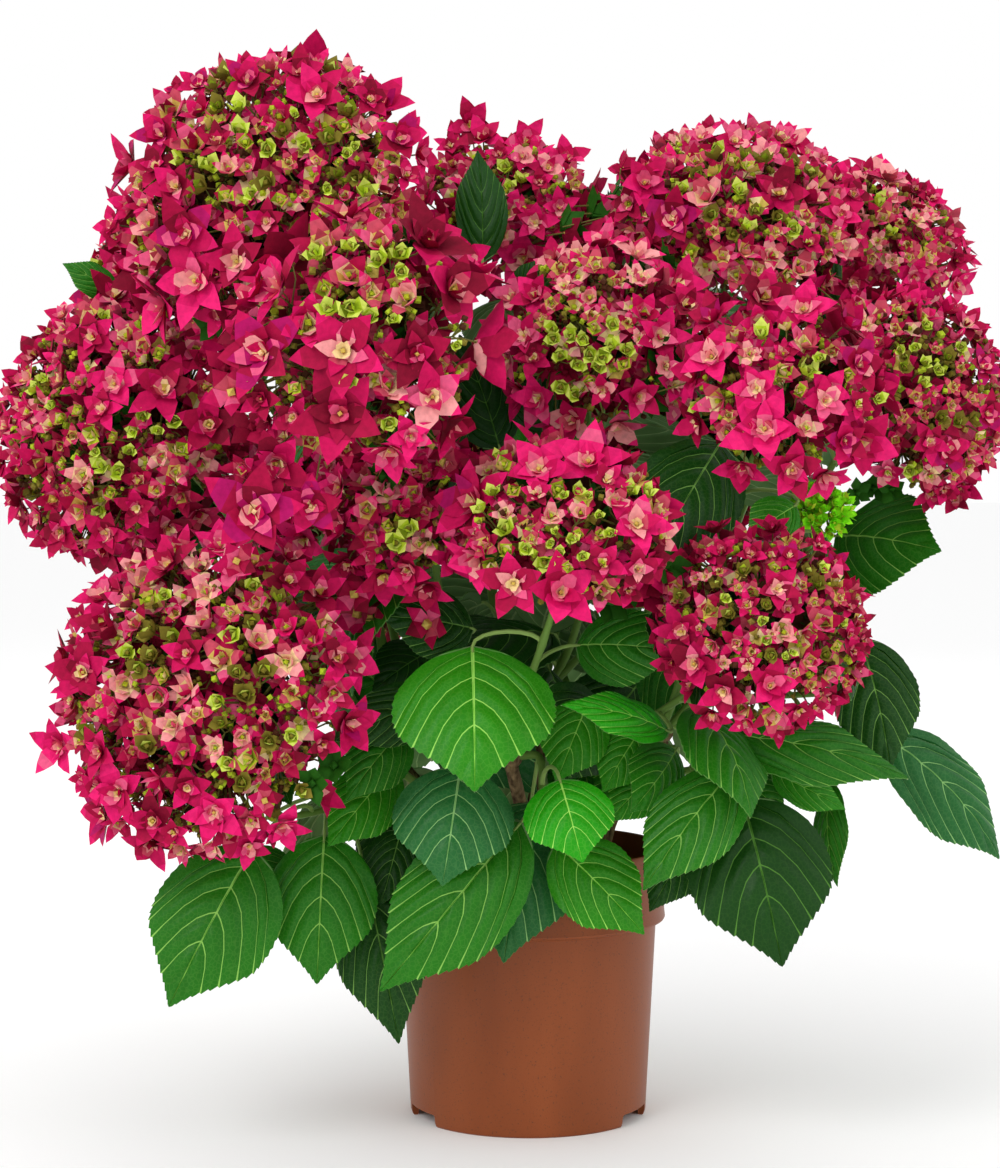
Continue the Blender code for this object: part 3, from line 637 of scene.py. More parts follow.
HEADS = (
    Head("top_left", "left", (-0.178, -0.060, 0.643), (-0.25, -0.80, 0.45), 0.112, 0.058),
    Head("shoulder_left", "left", (-0.274, 0.088, 0.604), (-0.62, -0.25, 0.72), 0.059, 0.038),
    Head("far_left", "left", (-0.286, -0.020, 0.489), (-0.42, -0.82, 0.30), 0.100, 0.052),
    Head("upper_left", "left", (-0.106, -0.207, 0.544), (-0.05, -0.92, 0.28), 0.086, 0.042),
    Head("inner_left", "left", (-0.150, -0.040, 0.442), (-0.10, -0.88, 0.30), 0.047, 0.032),
    Head("low_left", "front_left", (-0.211, -0.160, 0.313), (-0.35, -0.85, 0.30), 0.109, 0.058),
    Head("centre_left", "front", (-0.080, -0.146, 0.430), (-0.05, -0.90, 0.40), 0.057, 0.036),
    Head("centre", "front", (0.020, -0.205, 0.425), (0.00, -0.75, 0.65), 0.071, 0.035),
    Head("low_right", "front_right", (0.148, -0.175, 0.358), (0.12, -0.88, 0.45), 0.071, 0.045),
    Head("young", "front_right", (0.195, -0.100, 0.431), (0.15, -0.55, 0.80), 0.022, 0.016),
    Head("top_right", "centre", (0.146, 0.033, 0.633), (0.05, -0.65, 0.75), 0.091, 0.054),
    Head("middle", "centre", (0.048, -0.079, 0.545), (-0.05, -0.88, 0.45), 0.073, 0.045),
    Head("middle_right", "front_right", (0.166, -0.150, 0.512), (0.15, -0.88, 0.45), 0.071, 0.043),
    Head("far_right", "right", (0.269, -0.010, 0.510), (0.50, -0.76, 0.40), 0.080, 0.048),
    Head("upper_right", "right", (0.269, 0.127, 0.629), (0.45, -0.50, 0.72), 0.069, 0.038),
    Head("crown", "centre", (-0.018, 0.075, 0.644), (-0.10, -0.75, 0.65), 0.070, 0.044),
    Head("back_crown", "centre", (0.050, 0.200, 0.600), (0.00, 0.60, 0.80), 0.082, 0.048),
    Head("back_left", "back_left", (-0.130, 0.165, 0.590), (-0.35, 0.60, 0.65), 0.084, 0.048),
    Head("back_right", "back_right", (0.158, 0.232, 0.482), (0.30, 0.85, 0.42), 0.080, 0.048),
    Head("back_far_left", "back_left", (-0.262, 0.130, 0.430), (-0.78, 0.50, 0.38), 0.080, 0.046),
    Head("back_low", "back_right", (0.010, 0.275, 0.445), (0.00, 0.90, 0.42), 0.084, 0.048),
    Head("back_low_left", "back_left", (-0.150, 0.245, 0.370), (-0.45, 0.85, 0.28), 0.080, 0.045),
)

LEAFY_SHOOTS = (
    Leafy("skirt_left", "front_left", (-0.165, -0.085, 0.222), (-0.9, -0.5, 0.0)),
    Leafy("skirt_front", "front", (0.012, -0.122, 0.240), (0.3, -0.9, 0.0)),
    Leafy("skirt_right", "front_right", (0.140, -0.100, 0.262), (0.7, -0.6, 0.2)),
    Leafy("skirt_far_right", "right", (0.225, -0.010, 0.300), (0.9, -0.2, 0.1)),
    Leafy("skirt_back_left", "back_left", (-0.130, 0.125, 0.240), (-0.6, 0.7, 0.1)),
    Leafy("skirt_back_right", "back_right", (0.120, 0.140, 0.245), (0.6, 0.7, 0.1)),
)


def fork_directions(cane):
    """The way each shoot of the cane leaves the knob: a fan in the order of the shoots' tips."""
    fork = Vector(cane.fork)
    tips = {head.name: Vector(head.centre) for head in HEADS if head.cane == cane.name}
    tips.update({shoot.name: Vector(shoot.tip) for shoot in LEAFY_SHOOTS if shoot.cane == cane.name})
    bearings = {name: math.atan2(tip.y - fork.y, tip.x - fork.x) for name, tip in tips.items()}
    middle = math.atan2(sum(map(math.sin, bearings.values())), sum(map(math.cos, bearings.values())))
    order = sorted(bearings, key=lambda name: (bearings[name] - middle + math.pi) % (2 * math.pi))
    spacing = min(2 * math.pi / len(order), FORK_SPREAD)
    ways = {}
    for i, name in enumerate(order):
        bearing = middle + (i - (len(order) - 1) / 2) * spacing
        climb = HEAD_CLIMB if tips[name].z > SKIRT_TOP else SKIRT_CLIMB
        ways[name] = Vector((math.cos(bearing), math.sin(bearing), climb)).normalized()
    return ways


def head_foot(head):
    """The end of the head's stalk, where its shoot meets it."""
    return Vector(head.centre) - Vector(head.facing).normalized() * head.radius * HEAD_DEPTH


def shoot_run(name, way, end, end_way):
    """The line of a shoot from its cane's knob to its tip."""
    cane_name = next(item.cane for item in HEADS + LEAFY_SHOOTS if item.name == name)
    fork = Vector(next(cane.fork for cane in CANES if cane.name == cane_name))
    foot = fork + way * (KNOB_RADIUS + GAP)
    start = foot + way * SHOOT_END
    stop = end - end_way * SHOOT_END
    reach = (stop - start).length
    curve = bezier(start, start + way * reach * 0.30, stop - end_way * reach * 0.34, stop, SHOOT_STEPS)
    return [foot] + curve + [end]


def smooth_run(run):
    """The same line with more points, rounded at each one that it passes."""
    points = []
    for i in range(len(run) - 1):
        before = run[max(i - 1, 0)]
        after = run[min(i + 2, len(run) - 1)]
        for step in range(SHOOT_FINE_STEPS):
            t = step / SHOOT_FINE_STEPS
            ease = run[i] * 2 + (run[i + 1] - before) * t
            ease += (before * 2 - run[i] * 5 + run[i + 1] * 4 - after) * t * t
            ease += (run[i] * 3 - before - run[i + 1] * 3 + after) * t**3
            points.append(ease / 2)
    return points + [run[-1]]


ways = {}
for cane in CANES:
    ways.update(fork_directions(cane))
runs = {}
for head in HEADS:
    runs[head.name] = shoot_run(head.name, ways[head.name], head_foot(head), Vector(head.facing).normalized())
for shoot in LEAFY_SHOOTS:
    lean = Vector(shoot.lean).normalized()
    runs[shoot.name] = shoot_run(shoot.name, ways[shoot.name], Vector(shoot.tip), lean)

stem_limbs = []
for name, run in runs.items():
    fine = smooth_run(run)
    fine[0] = fine[0] - (fine[1] - fine[0]).normalized() * 0.002
    pairs = max(2, round(sum((b - a).length for a, b in zip(run, run[1:])) / SHOOT_NODE_SPACING))
    radii = []
    for i in range(len(fine)):
        share = i / (len(fine) - 1)
        places = [(pair + FIRST_NODE) / pairs for pair in range(pairs)]
        swell = max(math.exp(-((place - share) * len(fine) / 0.8) ** 2) for place in places)
        thin = SHOOT_FOOT_RADIUS + (SHOOT_TIP_RADIUS - SHOOT_FOOT_RADIUS) * share
        radii.append(thin * (1 + NODE_SWELL * swell))
    stem_limbs.append(limb(fine, radii, SHOOT_SIDES))


NET_SCALE = 330
NET_STRENGTH = 0.09
NET_WIDTH = 0.12


def green_material(name, shade, roughness, wrinkle, fine=420, vary=0.10, gloss=0.12, net=None, patch=55):
    """Living skin: one base colour, a little uneven, finely wrinkled, and maybe with a net of fine veins."""
    made, shader = plain_material(name)
    shader.inputs["Specular IOR Level"].default_value = gloss
    shader.inputs["Roughness"].default_value = roughness
    base = colour(*shade)
    darker = tuple(part * (1 - vary) for part in base[:3]) + (1,)
    lighter = tuple(part * (1 + vary) for part in base[:3]) + (1,)
    tree = made.node_tree
    where = node(tree, "TexCoord")
    skin = node(tree, "TexNoise", Scale=fine, Detail=3)
    uneven = node(tree, "TexNoise", Scale=patch, Detail=2)
    paint = node(tree, "Mix", data_type="RGBA", A=darker, B=lighter)
    bump = node(tree, "Bump", Strength=wrinkle, Distance=0.0005)
    wire(
        tree,
        (where, "Object", skin, "Vector"),
        (where, "Object", uneven, "Vector"),
        (uneven, "Fac", paint, "Factor"),
        (skin, "Fac", bump, "Height"),
        (bump, "Normal", shader, "Normal"),
        (paint, "Result", shader, "Base Color"),
    )
    if net:
        cells = node(tree, "TexVoronoi", feature="DISTANCE_TO_EDGE", Scale=NET_SCALE)
        fading = node(tree, "MapRange", From_Max=NET_WIDTH, To_Min=NET_STRENGTH, To_Max=0.0)
        veined = node(tree, "Mix", data_type="RGBA", B=colour(*net))
        wire(
            tree,
            (where, "Object", cells, "Vector"),
            (cells, "Distance", fading, "Value"),
            (fading, "Result", veined, "Factor"),
            (paint, "Result", veined, "A"),
            (veined, "Result", shader, "Base Color"),
        )
    return made


stem_green = green_material("shoot_green", (104, 138, 62), 0.45, 0.15)
stems = joined("green_shoots", stem_limbs, [stem_green], 60)
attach(stems, "root")
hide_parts(*(f"shoot_{name}" for name in runs))


# The leaves: in pairs, each pair square to the last, on stout pale stalks. A blade is broad and pointed,
# saw-toothed, puffed up between sunken veins, pale beneath, and of several greens from yellowish to bluish.

STALK_RADIUS = 0.0015
STALK_SIDES = 7
STALK_STEPS = 8
STALK_TAPER = (1.2, 0.5)
STALK_END = 0.4
STALK_ROOT = 0.0008
SHORT_STALK = 0.045
LEAF_LENGTH = 0.116
LEAF_WIDTH = 0.70
LEAF_THICKNESS = 0.0018
LEAF_ARCH = 0.10
LEAF_KEEL = 0.22
LEAF_STATIONS = (0.16, 0.44, 0.76, 1)
LEAF_SLACK = LEAF_THICKNESS * 0.75
STALK_SLACK = STALK_RADIUS * 1.3
LENGTH_SPREAD = (0.86, 1.10)
WIDTH_SPREAD = (0.92, 1.08)
LEVEL_HEIGHT = 0.52
DROOP_DEPTH = 0.26
LEAST_DROP = 0.05
MOST_DROP = 1.15
STALK_LENGTHS = (0.026, 0.036)
STALK_ASIDE = 0.9
STALK_ALONG = 0.45
MOST_INWARD = 0.35
CLIMB_COST = 0.5
CROWN_FOOT = 0.15
CROWN_FOOT_REACH = 0.22
CROWN_WIDENING = 0.25
CROWN_MOST_REACH = 0.30
NODES_TRIED = 12
VEINS = 5
FIRST_VEIN_EDGE = 0.54
FIRST_VEIN_FOOT = 0.03
VEIN_SLANT = 0.34
VEIN_SWEEP = 2.8
VEIN_ROWS = (
    (0.0, 0.0, 1.0),
    (0.05, 0.0, 0.1),
    (0.30, 0.8, 0.6),
    (0.50, 1.0, 1.0),
    (0.57, 1.0, 0.1),
    (0.80, 0.8, 0.6),
)
BASE_RISE = 0.6
BASE_ROWS = 17
BASE_TEETH = (0.1, 1.0)
ACROSS = (0.022, 0.20, 0.45, 0.70, 0.90, 1.0)
MIDRIB_WIDTH = 0.020
MIDRIB_DEPTH = 1.4
BLADE_FOOT_ROUND = 0.84
BLADE_FULLNESS = 0.64
TIP_START = 0.62
TIP_DRAWN = 0.76
TIP_CURVE = 1.3
PUFF = 0.016
VEIN_DEPTH = 0.006
TOOTH = 0.010
TOOTH_FORWARD = 0.9
TOOTH_OUT = 2.6
EDGE_WAVES = (0.010, 0.022)
EDGE_BEATS = (2.2, 3.4)
EDGE_LAG = 0.9
MIDRIB_CURL = 0.03
BLADE_THICKNESS = 0.007

Blade = namedtuple("Blade", "base tip width facing")

# What a leaf tries in turn for a free place: its size, its sag, its swing towards the crown's outside.
LEAF_TRIES = (
    (1.0, 0.0, 0.4),
    (1.0, 0.35, 0.8),
    (1.0, -0.35, 0.1),
    (0.9, 0.7, 0.6),
    (0.9, -0.3, 1.2),
    (0.8, 0.2, 0.3),
    (0.8, 1.2, 0.9),
    (0.8, -0.6, 0.5),
    (0.7, 0.5, 1.5),
    (0.65, 0.0, 0.0),
)

FRONT = (0.0, -1.0, 0.35)
FRONT_BLADES = (
    Blade((-0.038, -0.155, 0.343), (-0.035, -0.215, 0.256), 0.104, (0.0, -1.0, 0.80)),
    Blade((-0.046, -0.135, 0.262), (-0.056, -0.168, 0.188), 0.079, FRONT),
    Blade((-0.006, -0.128, 0.224), (-0.096, -0.155, 0.114), 0.077, FRONT),
    Blade((-0.184, -0.125, 0.206), (-0.237, -0.152, 0.105), 0.084, FRONT),
    Blade((-0.138, -0.105, 0.212), (-0.141, -0.125, 0.115), 0.074, FRONT),
    Blade((-0.114, -0.080, 0.192), (-0.086, -0.110, 0.072), 0.064, FRONT),
    Blade((-0.092, -0.085, 0.256), (-0.134, -0.115, 0.205), 0.048, FRONT),
    Blade((-0.084, -0.105, 0.284), (-0.122, -0.140, 0.241), 0.042, FRONT),
    Blade((0.019, -0.155, 0.256), (0.032, -0.180, 0.205), 0.059, (0.0, -1.0, 0.80)),
    Blade((0.017, -0.115, 0.208), (0.076, -0.140, 0.152), 0.057, FRONT),
    Blade((0.137, -0.125, 0.260), (0.075, -0.160, 0.183), 0.060, (-0.4, -1.0, 0.30)),
    Blade((0.113, -0.092, 0.216), (0.081, -0.112, 0.161), 0.041, FRONT),
    Blade((0.141, -0.120, 0.240), (0.165, -0.152, 0.132), 0.094, FRONT),
    Blade((0.247, -0.030, 0.272), (0.334, -0.010, 0.184), 0.062, (0.3, -1.0, 0.55)),
    Blade((0.117, -0.105, 0.280), (0.253, -0.110, 0.249), 0.052, (0.1, -0.8, 0.70)),
    Blade((0.228, -0.050, 0.340), (0.246, -0.085, 0.254), 0.060, FRONT),
    Blade((0.209, -0.045, 0.240), (0.213, -0.060, 0.170), 0.030, (-0.8, -0.7, 0.10)),
    Blade((0.222, 0.045, 0.407), (0.288, -0.015, 0.398), 0.080, FRONT),
    Blade((0.176, -0.118, 0.434), (0.143, -0.128, 0.412), 0.034, FRONT),
    Blade((0.031, -0.105, 0.340), (0.101, -0.138, 0.338), 0.053, FRONT),
    Blade((-0.038, -0.090, 0.350), (-0.100, -0.120, 0.360), 0.049, FRONT),
    Blade((0.092, -0.125, 0.284), (0.020, -0.168, 0.306), 0.032, (0.1, -0.9, 0.60)),
    Blade((0.040, -0.092, 0.302), (0.018, -0.110, 0.248), 0.046, FRONT),
    Blade((-0.032, -0.020, 0.600), (-0.034, -0.008, 0.678), 0.036, (0.1, -1.0, 0.00)),
    Blade((-0.060, -0.105, 0.306), (-0.128, -0.130, 0.278), 0.042, FRONT),
    Blade((0.140, -0.040, 0.274), (0.214, -0.040, 0.274), 0.030, FRONT),
    Blade((0.165, -0.075, 0.251), (0.215, -0.075, 0.224), 0.027, FRONT),
    Blade((0.144, -0.070, 0.246), (0.174, -0.075, 0.222), 0.035, FRONT),
    Blade((0.074, -0.095, 0.281), (0.048, -0.108, 0.242), 0.036, FRONT),
    Blade((0.088, -0.090, 0.256), (0.052, -0.102, 0.220), 0.035, FRONT),
    Blade((0.118, -0.040, 0.451), (0.109, -0.055, 0.391), 0.036, FRONT),
    Blade((0.126, -0.080, 0.469), (0.123, -0.085, 0.411), 0.019, FRONT),
    Blade((0.011, -0.030, 0.477), (-0.006, -0.050, 0.549), 0.041, FRONT),
    Blade((-0.006, -0.010, 0.571), (0.011, -0.020, 0.603), 0.028, FRONT),
    Blade((-0.292, 0.030, 0.579), (-0.329, 0.020, 0.602), 0.024, FRONT),
    Blade((-0.067, -0.060, 0.333), (-0.107, -0.085, 0.308), 0.043, FRONT),
    Blade((-0.087, -0.085, 0.213), (-0.099, -0.103, 0.164), 0.041, FRONT),
    Blade((-0.191, -0.085, 0.199), (-0.162, -0.095, 0.168), 0.034, FRONT),
    Blade((-0.020, -0.020, 0.470), (-0.046, -0.035, 0.550), 0.052, FRONT),
    Blade((-0.069, -0.030, 0.456), (-0.058, -0.050, 0.512), 0.045, FRONT),
    Blade((0.233, 0.060, 0.553), (0.214, 0.050, 0.606), 0.046, FRONT),
    Blade((0.086, 0.002, 0.254), (0.047, -0.008, 0.214), 0.045, FRONT),
    Blade((-0.079, -0.050, 0.229), (-0.115, -0.068, 0.172), 0.045, FRONT),
    Blade((0.036, 0.034, 0.262), (0.048, 0.024, 0.204), 0.054, FRONT),
    Blade((0.076, 0.048, 0.262), (0.066, 0.058, 0.206), 0.048, FRONT),
    Blade((0.092, -0.012, 0.338), (0.114, -0.022, 0.268), 0.052, FRONT),
)

PINCHED = (("centre", 2, 0), ("centre_left", 0, 0), ("low_right", 2, 1), ("far_right", 3, 0))


def midrib(blade, along):
    """A point of the leaf's arched middle line, from stalk (0) to tip (1)."""
    base = Vector(blade.base)
    run = Vector(blade.tip) - base
    _, normal = sides_of(run.normalized(), Vector(blade.facing))
    return base + run * along + normal * run.length * LEAF_ARCH * 4 * along * (1 - along)


def leaf_outline(along):
    """The real blade's half outline: round at its foot, drawn out to a long point at its tip."""
    point = max(0.0, (along - TIP_START) / (1 - TIP_START))
    fullness = math.sin(math.pi * min(along, 1.0) ** BLADE_FOOT_ROUND) ** BLADE_FULLNESS
    return fullness * (1 - TIP_DRAWN * point**TIP_CURVE)


def leaf_rows():
    """The blade's rows: where each leaves the midrib and meets the edge, its rise, its tooth and its kind."""
    rows = []
    for row in range(BASE_ROWS):
        edge = FIRST_VEIN_EDGE * (row / BASE_ROWS) ** 0.8
        foot = FIRST_VEIN_FOOT * (row / BASE_ROWS) ** 1.6
        rows.append((foot, edge, BASE_RISE, BASE_TEETH[row % 2], 0))
    step = (1 - FIRST_VEIN_EDGE) / (VEINS + 1)
    for vein in range(VEINS + 1):
        for offset, rise, tooth in VEIN_ROWS:
            edge = FIRST_VEIN_EDGE + step * (vein + offset)
            share = (edge - FIRST_VEIN_EDGE) / (1 - FIRST_VEIN_EDGE)
            foot = FIRST_VEIN_FOOT + (1 - FIRST_VEIN_FOOT) * share**1.35
            rows.append((foot, edge, rise, tooth, 1 if offset == 0 and vein < VEINS else 0))
    rows.append((1.0, 1.0, 0.0, 0.0, 0))
    return rows


def model_leaf():
    """A flat leaf of length 1 and half width 1, its stalk end at 0, from a grid moulded row by row."""
    rows = leaf_rows()
    across = [-t for t in reversed(ACROSS)] + [0.0] + list(ACROSS)
    deselect()
    bpy.ops.mesh.primitive_grid_add(x_subdivisions=len(across) - 1, y_subdivisions=len(rows) - 1, size=2)
    made = bpy.context.object
    mesh = made.data
    for vertex in mesh.vertices:
        column = round((vertex.co.x + 1) / 2 * (len(across) - 1))
        row = round((vertex.co.y + 1) / 2 * (len(rows) - 1))
        t = across[column]
        out = abs(t)
        foot, edge, rise, tooth, _ = rows[row]
        along = foot + (edge - foot) * (VEIN_SLANT * out + (1 - VEIN_SLANT) * out**VEIN_SWEEP)
        width = leaf_outline(edge) * out
        if out == ACROSS[0]:
            width = min(width * 4, MIDRIB_WIDTH * (1.15 - foot))
        fading = min(1.0, (1 - along) * 5) * min(1.0, along * 8 + 0.2)
        puffed = PUFF * rise * math.sin(math.pi * min(out / 0.98, 1)) ** 0.7
        height = (puffed - VEIN_DEPTH * (1 - rise)) * fading
        if out == 1:
            along += TOOTH * tooth * TOOTH_FORWARD
            width += TOOTH * TOOTH_OUT * tooth * min(1.0, (1 - edge) * 6)
            height = 0.0
        if t == 0:
            height = -VEIN_DEPTH * MIDRIB_DEPTH
        vertex.co = (along, -math.copysign(width, t) if t else 0.0, height)
    for face in mesh.polygons:
        columns = [vertex % len(across) for vertex in face.vertices]
        row = min(vertex // len(across) for vertex in face.vertices)
        middle = {len(ACROSS) - 1, len(ACROSS), len(ACROSS) + 1}
        if set(columns) <= middle or rows[row][4]:
            face.material_index = 1
    thick = made.modifiers.new("thickness", "SOLIDIFY")
    thick.thickness = BLADE_THICKNESS
    thick.offset = -1
    thick.material_offset = 3
    thick.material_offset_rim = 2
    for _ in range(6):
        mesh.materials.append(None)
    apply_modifiers(made)
    all_faces()
    bpy.ops.mesh.remove_doubles(threshold=0.0002)
    back_to_object()
    return shape_of(made)


flat_leaf = model_leaf()
leaf_chance = random.Random("leaves")


def bent_leaf(blade, tone):
    """The flat leaf laid along its arched midrib, its sides drooping, its edge gently waved."""
    base = Vector(blade.base)
    run = Vector(blade.tip) - base
    length = run.length
    across, normal = sides_of(run.normalized(), Vector(blade.facing))
    along, side, height = flat_leaf.points.T
    half = -side * blade.width / 2
    wave = leaf_chance.uniform(*EDGE_WAVES) * length
    beat = leaf_chance.uniform(*EDGE_BEATS)
    phase = leaf_chance.uniform(0, 2 * math.pi)
    curl = leaf_chance.uniform(-MIDRIB_CURL, MIDRIB_CURL) * length
    arch = length * LEAF_ARCH * 4 * along * (1 - along)
    droop = np.abs(half) ** 1.5 / np.sqrt(blade.width / 2) * LEAF_KEEL
    waved = wave * np.sin(along * beat * 2 * math.pi + phase + np.sign(side) * EDGE_LAG) * side**2
    lift = arch + height * length - droop + waved
    middle = np.array(base) + np.outer(along, np.array(run)) + np.outer(curl * along**3, np.array(across))
    points = middle + np.outer(half, np.array(across)) + np.outer(lift, np.array(normal))
    table = np.array([tone * 2, tone * 2 + 1, LEAF_EDGE, LEAF_BACK, LEAF_BACK_VEIN, LEAF_BACK])
    return Shape(points, flat_leaf.corners, flat_leaf.sizes, table[flat_leaf.roles])


def leaf_stalk(blade, stem_point, role):
    """The leaf's round stalk, a little wider where it sits on the stem, running into the midrib."""
    base = midrib(blade, 0)
    run = (Vector(blade.tip) - Vector(blade.base)).normalized()
    reach = (base - stem_point).length
    line = bezier(stem_point, stem_point + UP * reach * 0.25, base - run * reach * 0.3, base, STALK_STEPS)
    line.append(midrib(blade, 0.05))
    wide, thinning = STALK_TAPER
    count = STALK_STEPS + 1
    radii = [STALK_RADIUS * (wide - thinning * step / count) for step in range(count)]
    return limb(line, radii + [STALK_RADIUS * STALK_END], STALK_SIDES, role)


TONES = {
    "deep": ((18, 64, 10), (112, 158, 74)),
    "mid": ((32, 108, 14), (134, 188, 84)),
    "fresh": ((38, 126, 10), (146, 208, 88)),
    "bright": ((32, 148, 8), (160, 222, 96)),
    "blue": ((34, 98, 44), (134, 184, 110)),
    # The last green is the darkest: painted shade for the leaves under the heads.
    "dusk": ((16, 60, 8), (76, 124, 46)),
}
leaf_paints = []
for name, (blade_shade, vein_shade) in TONES.items():
    blade_green = green_material(
        f"leaf_{name}", blade_shade, 0.40, 0.4, vary=0.26, gloss=0.16, net=vein_shade, patch=24
    )
    leaf_paints += [blade_green, green_material(f"vein_{name}", vein_shade, 0.5, 0.2)]
LEAF_EDGE, LEAF_BACK, LEAF_BACK_VEIN, LEAF_STALK = range(len(leaf_paints), len(leaf_paints) + 4)
leaf_paints += [
    green_material("leaf_edge", (84, 134, 58), 0.5, 0.1),
    green_material("leaf_underside", (104, 140, 84), 0.7, 0.3),
    green_material("leaf_underside_vein", (150, 178, 118), 0.6, 0.2),
    green_material("leaf_stalk", (136, 166, 88), 0.45, 0.15),
]
tone_number = {name: number for number, name in enumerate(TONES)}

# Each front leaf's tone, listed leaf by leaf: partly its own green, partly painted light and shade. Some low
# leaves that the heads shade get lighter greens, and the darkest green is painted shade on leaves under the
# heads.
FRONT_TONES = (
    "fresh", "blue", "mid", "mid", "mid", "deep", "fresh", "mid", "bright", "fresh", "mid", "deep", "dusk",
    "blue", "mid", "deep", "mid", "mid", "fresh", "mid", "deep", "bright", "fresh", "dusk", "deep", "deep",
    "fresh", "mid", "fresh", "fresh", "dusk", "deep", "dusk", "dusk", "mid", "dusk", "deep", "mid", "dusk",
    "dusk", "deep", "fresh", "deep", "fresh", "fresh", "mid",
)
GROWN_TONES = ("deep", "mid", "mid", "blue", "deep", "fresh")


def crown_reach(height):
    """How far from the pot's middle line a leaf may reach at this height."""
    return min(CROWN_FOOT_REACH + CROWN_WIDENING * max(height - CROWN_FOOT, 0), CROWN_MOST_REACH)


def blade_choices(stem_point, stem_way, side, chance):
    """The blades that a node could carry on this side of its stem, the likeliest first."""
    outward = Vector((stem_point.x, stem_point.y, 0))
    outward = outward.normalized() if outward.length > 0.02 else side
    length = LEAF_LENGTH * chance.uniform(*LENGTH_SPREAD)
    width = length * LEAF_WIDTH * chance.uniform(*WIDTH_SPREAD)
    drop = min(max((LEVEL_HEIGHT - stem_point.z) / DROOP_DEPTH, LEAST_DROP), MOST_DROP)
    stalk = chance.uniform(*STALK_LENGTHS)
    for size, sag, swing in LEAF_TRIES:
        start = stem_point + (side * STALK_ASIDE + stem_way * STALK_ALONG) * stalk
        way = (side + outward * swing - UP * (drop + sag)).normalized()
        facing = (outward * (0.35 + drop) + UP).normalized()
        tip = start + way * length * size
        if tip.xy.length < crown_reach(tip.z):
            yield Blade(start, tip, width * size, facing)


solids = {}
for name in runs:
    mesh = frame["nodes"][f"shoot_{name}"].data
    mesh.calc_loop_triangles()
    triangles = [tuple(triangle.vertices) for triangle in mesh.loop_triangles]
    solids[name] = BVHTree.FromPolygons([vertex.co for vertex in mesh.vertices], triangles)


def stands(name, blade, stem_point):
    """Whether the shoot's solid holds this leaf on this stalk."""
    probes = [(midrib(blade, along), LEAF_SLACK) for along in LEAF_STATIONS]
    base = midrib(blade, 0)
    reach = (base - stem_point).length
    run = (Vector(blade.tip) - Vector(blade.base)).normalized()
    root = stem_point - (base - stem_point).normalized() * STALK_ROOT
    if reach < SHORT_STALK:
        probes.append(((root + base) / 2, STALK_SLACK))
    else:
        line = bezier(root, root + UP * reach * 0.25, base - run * reach * 0.3, base, 2)
        probes.append((line[1], STALK_SLACK))
        probes.append(((line[0] + line[1]) / 2, STALK_SLACK))
    for point, slack in probes:
        found = solids[name].find_nearest(point)
        if found[3] is None or found[3] > slack:
            return False
    return True


leaves = {cane.name: [] for cane in CANES}
cane_of = {item.name: item.cane for item in HEADS + LEAFY_SHOOTS}


def grow(name, blade, stem_point, tone):
    """The leaf and its stalk on the shoot, where its solid holds them."""
    if not stands(name, blade, stem_point):
        return False
    leaves[cane_of[name]].append(bent_leaf(blade, tone_number[tone]))
    leaves[cane_of[name]].append(leaf_stalk(blade, stem_point, LEAF_STALK))
    return True


for blade, tone in zip(FRONT_BLADES, FRONT_TONES):
    base = Vector(blade.base)
    nodes = []
    for name, run in runs.items():
        for point in run[2:-2]:
            climb = max(point.z - base.z, 0)
            nodes.append(((point - base).length + climb * CLIMB_COST, name, point))
    nodes.sort(key=lambda node: node[0])
    any(grow(name, blade, point, tone) for _, name, point in nodes[:NODES_TRIED])

for name, run in runs.items():
    chance = random.Random(name)
    tone_chance = random.Random(name + " tones")
    length = sum((b - a).length for a, b in zip(run, run[1:]))
    pairs = max(2, round(length / SHOOT_NODE_SPACING))
    spin = chance.uniform(0, math.pi)
    for pair in range(pairs):
        share = (pair + FIRST_NODE) / pairs * SHOOT_STEPS
        step = min(int(share), SHOOT_STEPS - 1)
        point = run[step].lerp(run[step + 1], share - step)
        way = (run[step + 1] - run[step]).normalized()
        across, along = sides_of(way)
        for number, turn in enumerate((0, math.pi)):
            angle = spin + turn + pair * math.pi / 2
            side = across * math.cos(angle) + along * math.sin(angle)
            if side.dot(Vector((point.x, point.y, 0))) < -MOST_INWARD * point.length:
                continue
            tone = tone_chance.choice(GROWN_TONES)
            blades = list(blade_choices(point, way, side, chance))
            if (name, pair, number) not in PINCHED:
                any(grow(name, blade, point, tone) for blade in blades)

for cane_name, shapes in leaves.items():
    if not shapes:
        continue
    piece = joined(f"leaves_{cane_name}", shapes, leaf_paints, 50)
    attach(piece, "root")
    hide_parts(*(f"shoot_{name}" for name in runs if cane_of[name] == cane_name))


# The florets: double ones, each a star of pointed sepals with smaller whorls standing inside it. Old ones
# at a head's rim are broad flat stars of strong magenta, younger ones half-open cups, the youngest lime
# rosettes.

SEPAL_OUTLINE = ((0.0, 0.34), (0.24, 0.84), (0.46, 1.0), (0.74, 0.60), (1.0, 0.0))
SEPAL_THICKNESS = 0.035
ZONES = 4
OUTER_ROLES, MIDDLE_ROLES, INNER_ROLES = 0, ZONES, ZONES * 2
BUD_ROLE, OUTER_BACK, INNER_BACK, ROLES = range(ZONES * 3, ZONES * 3 + 4)
ZONES_CUT = {3: (0, 1, 2, 3), 2: (0, 1, 3), 1: (0, 2)}
SHIFTS = (0, 0, 1, 2)

Whorl = namedtuple("Whorl", "count spike keel length width lift curl cup base roles back")


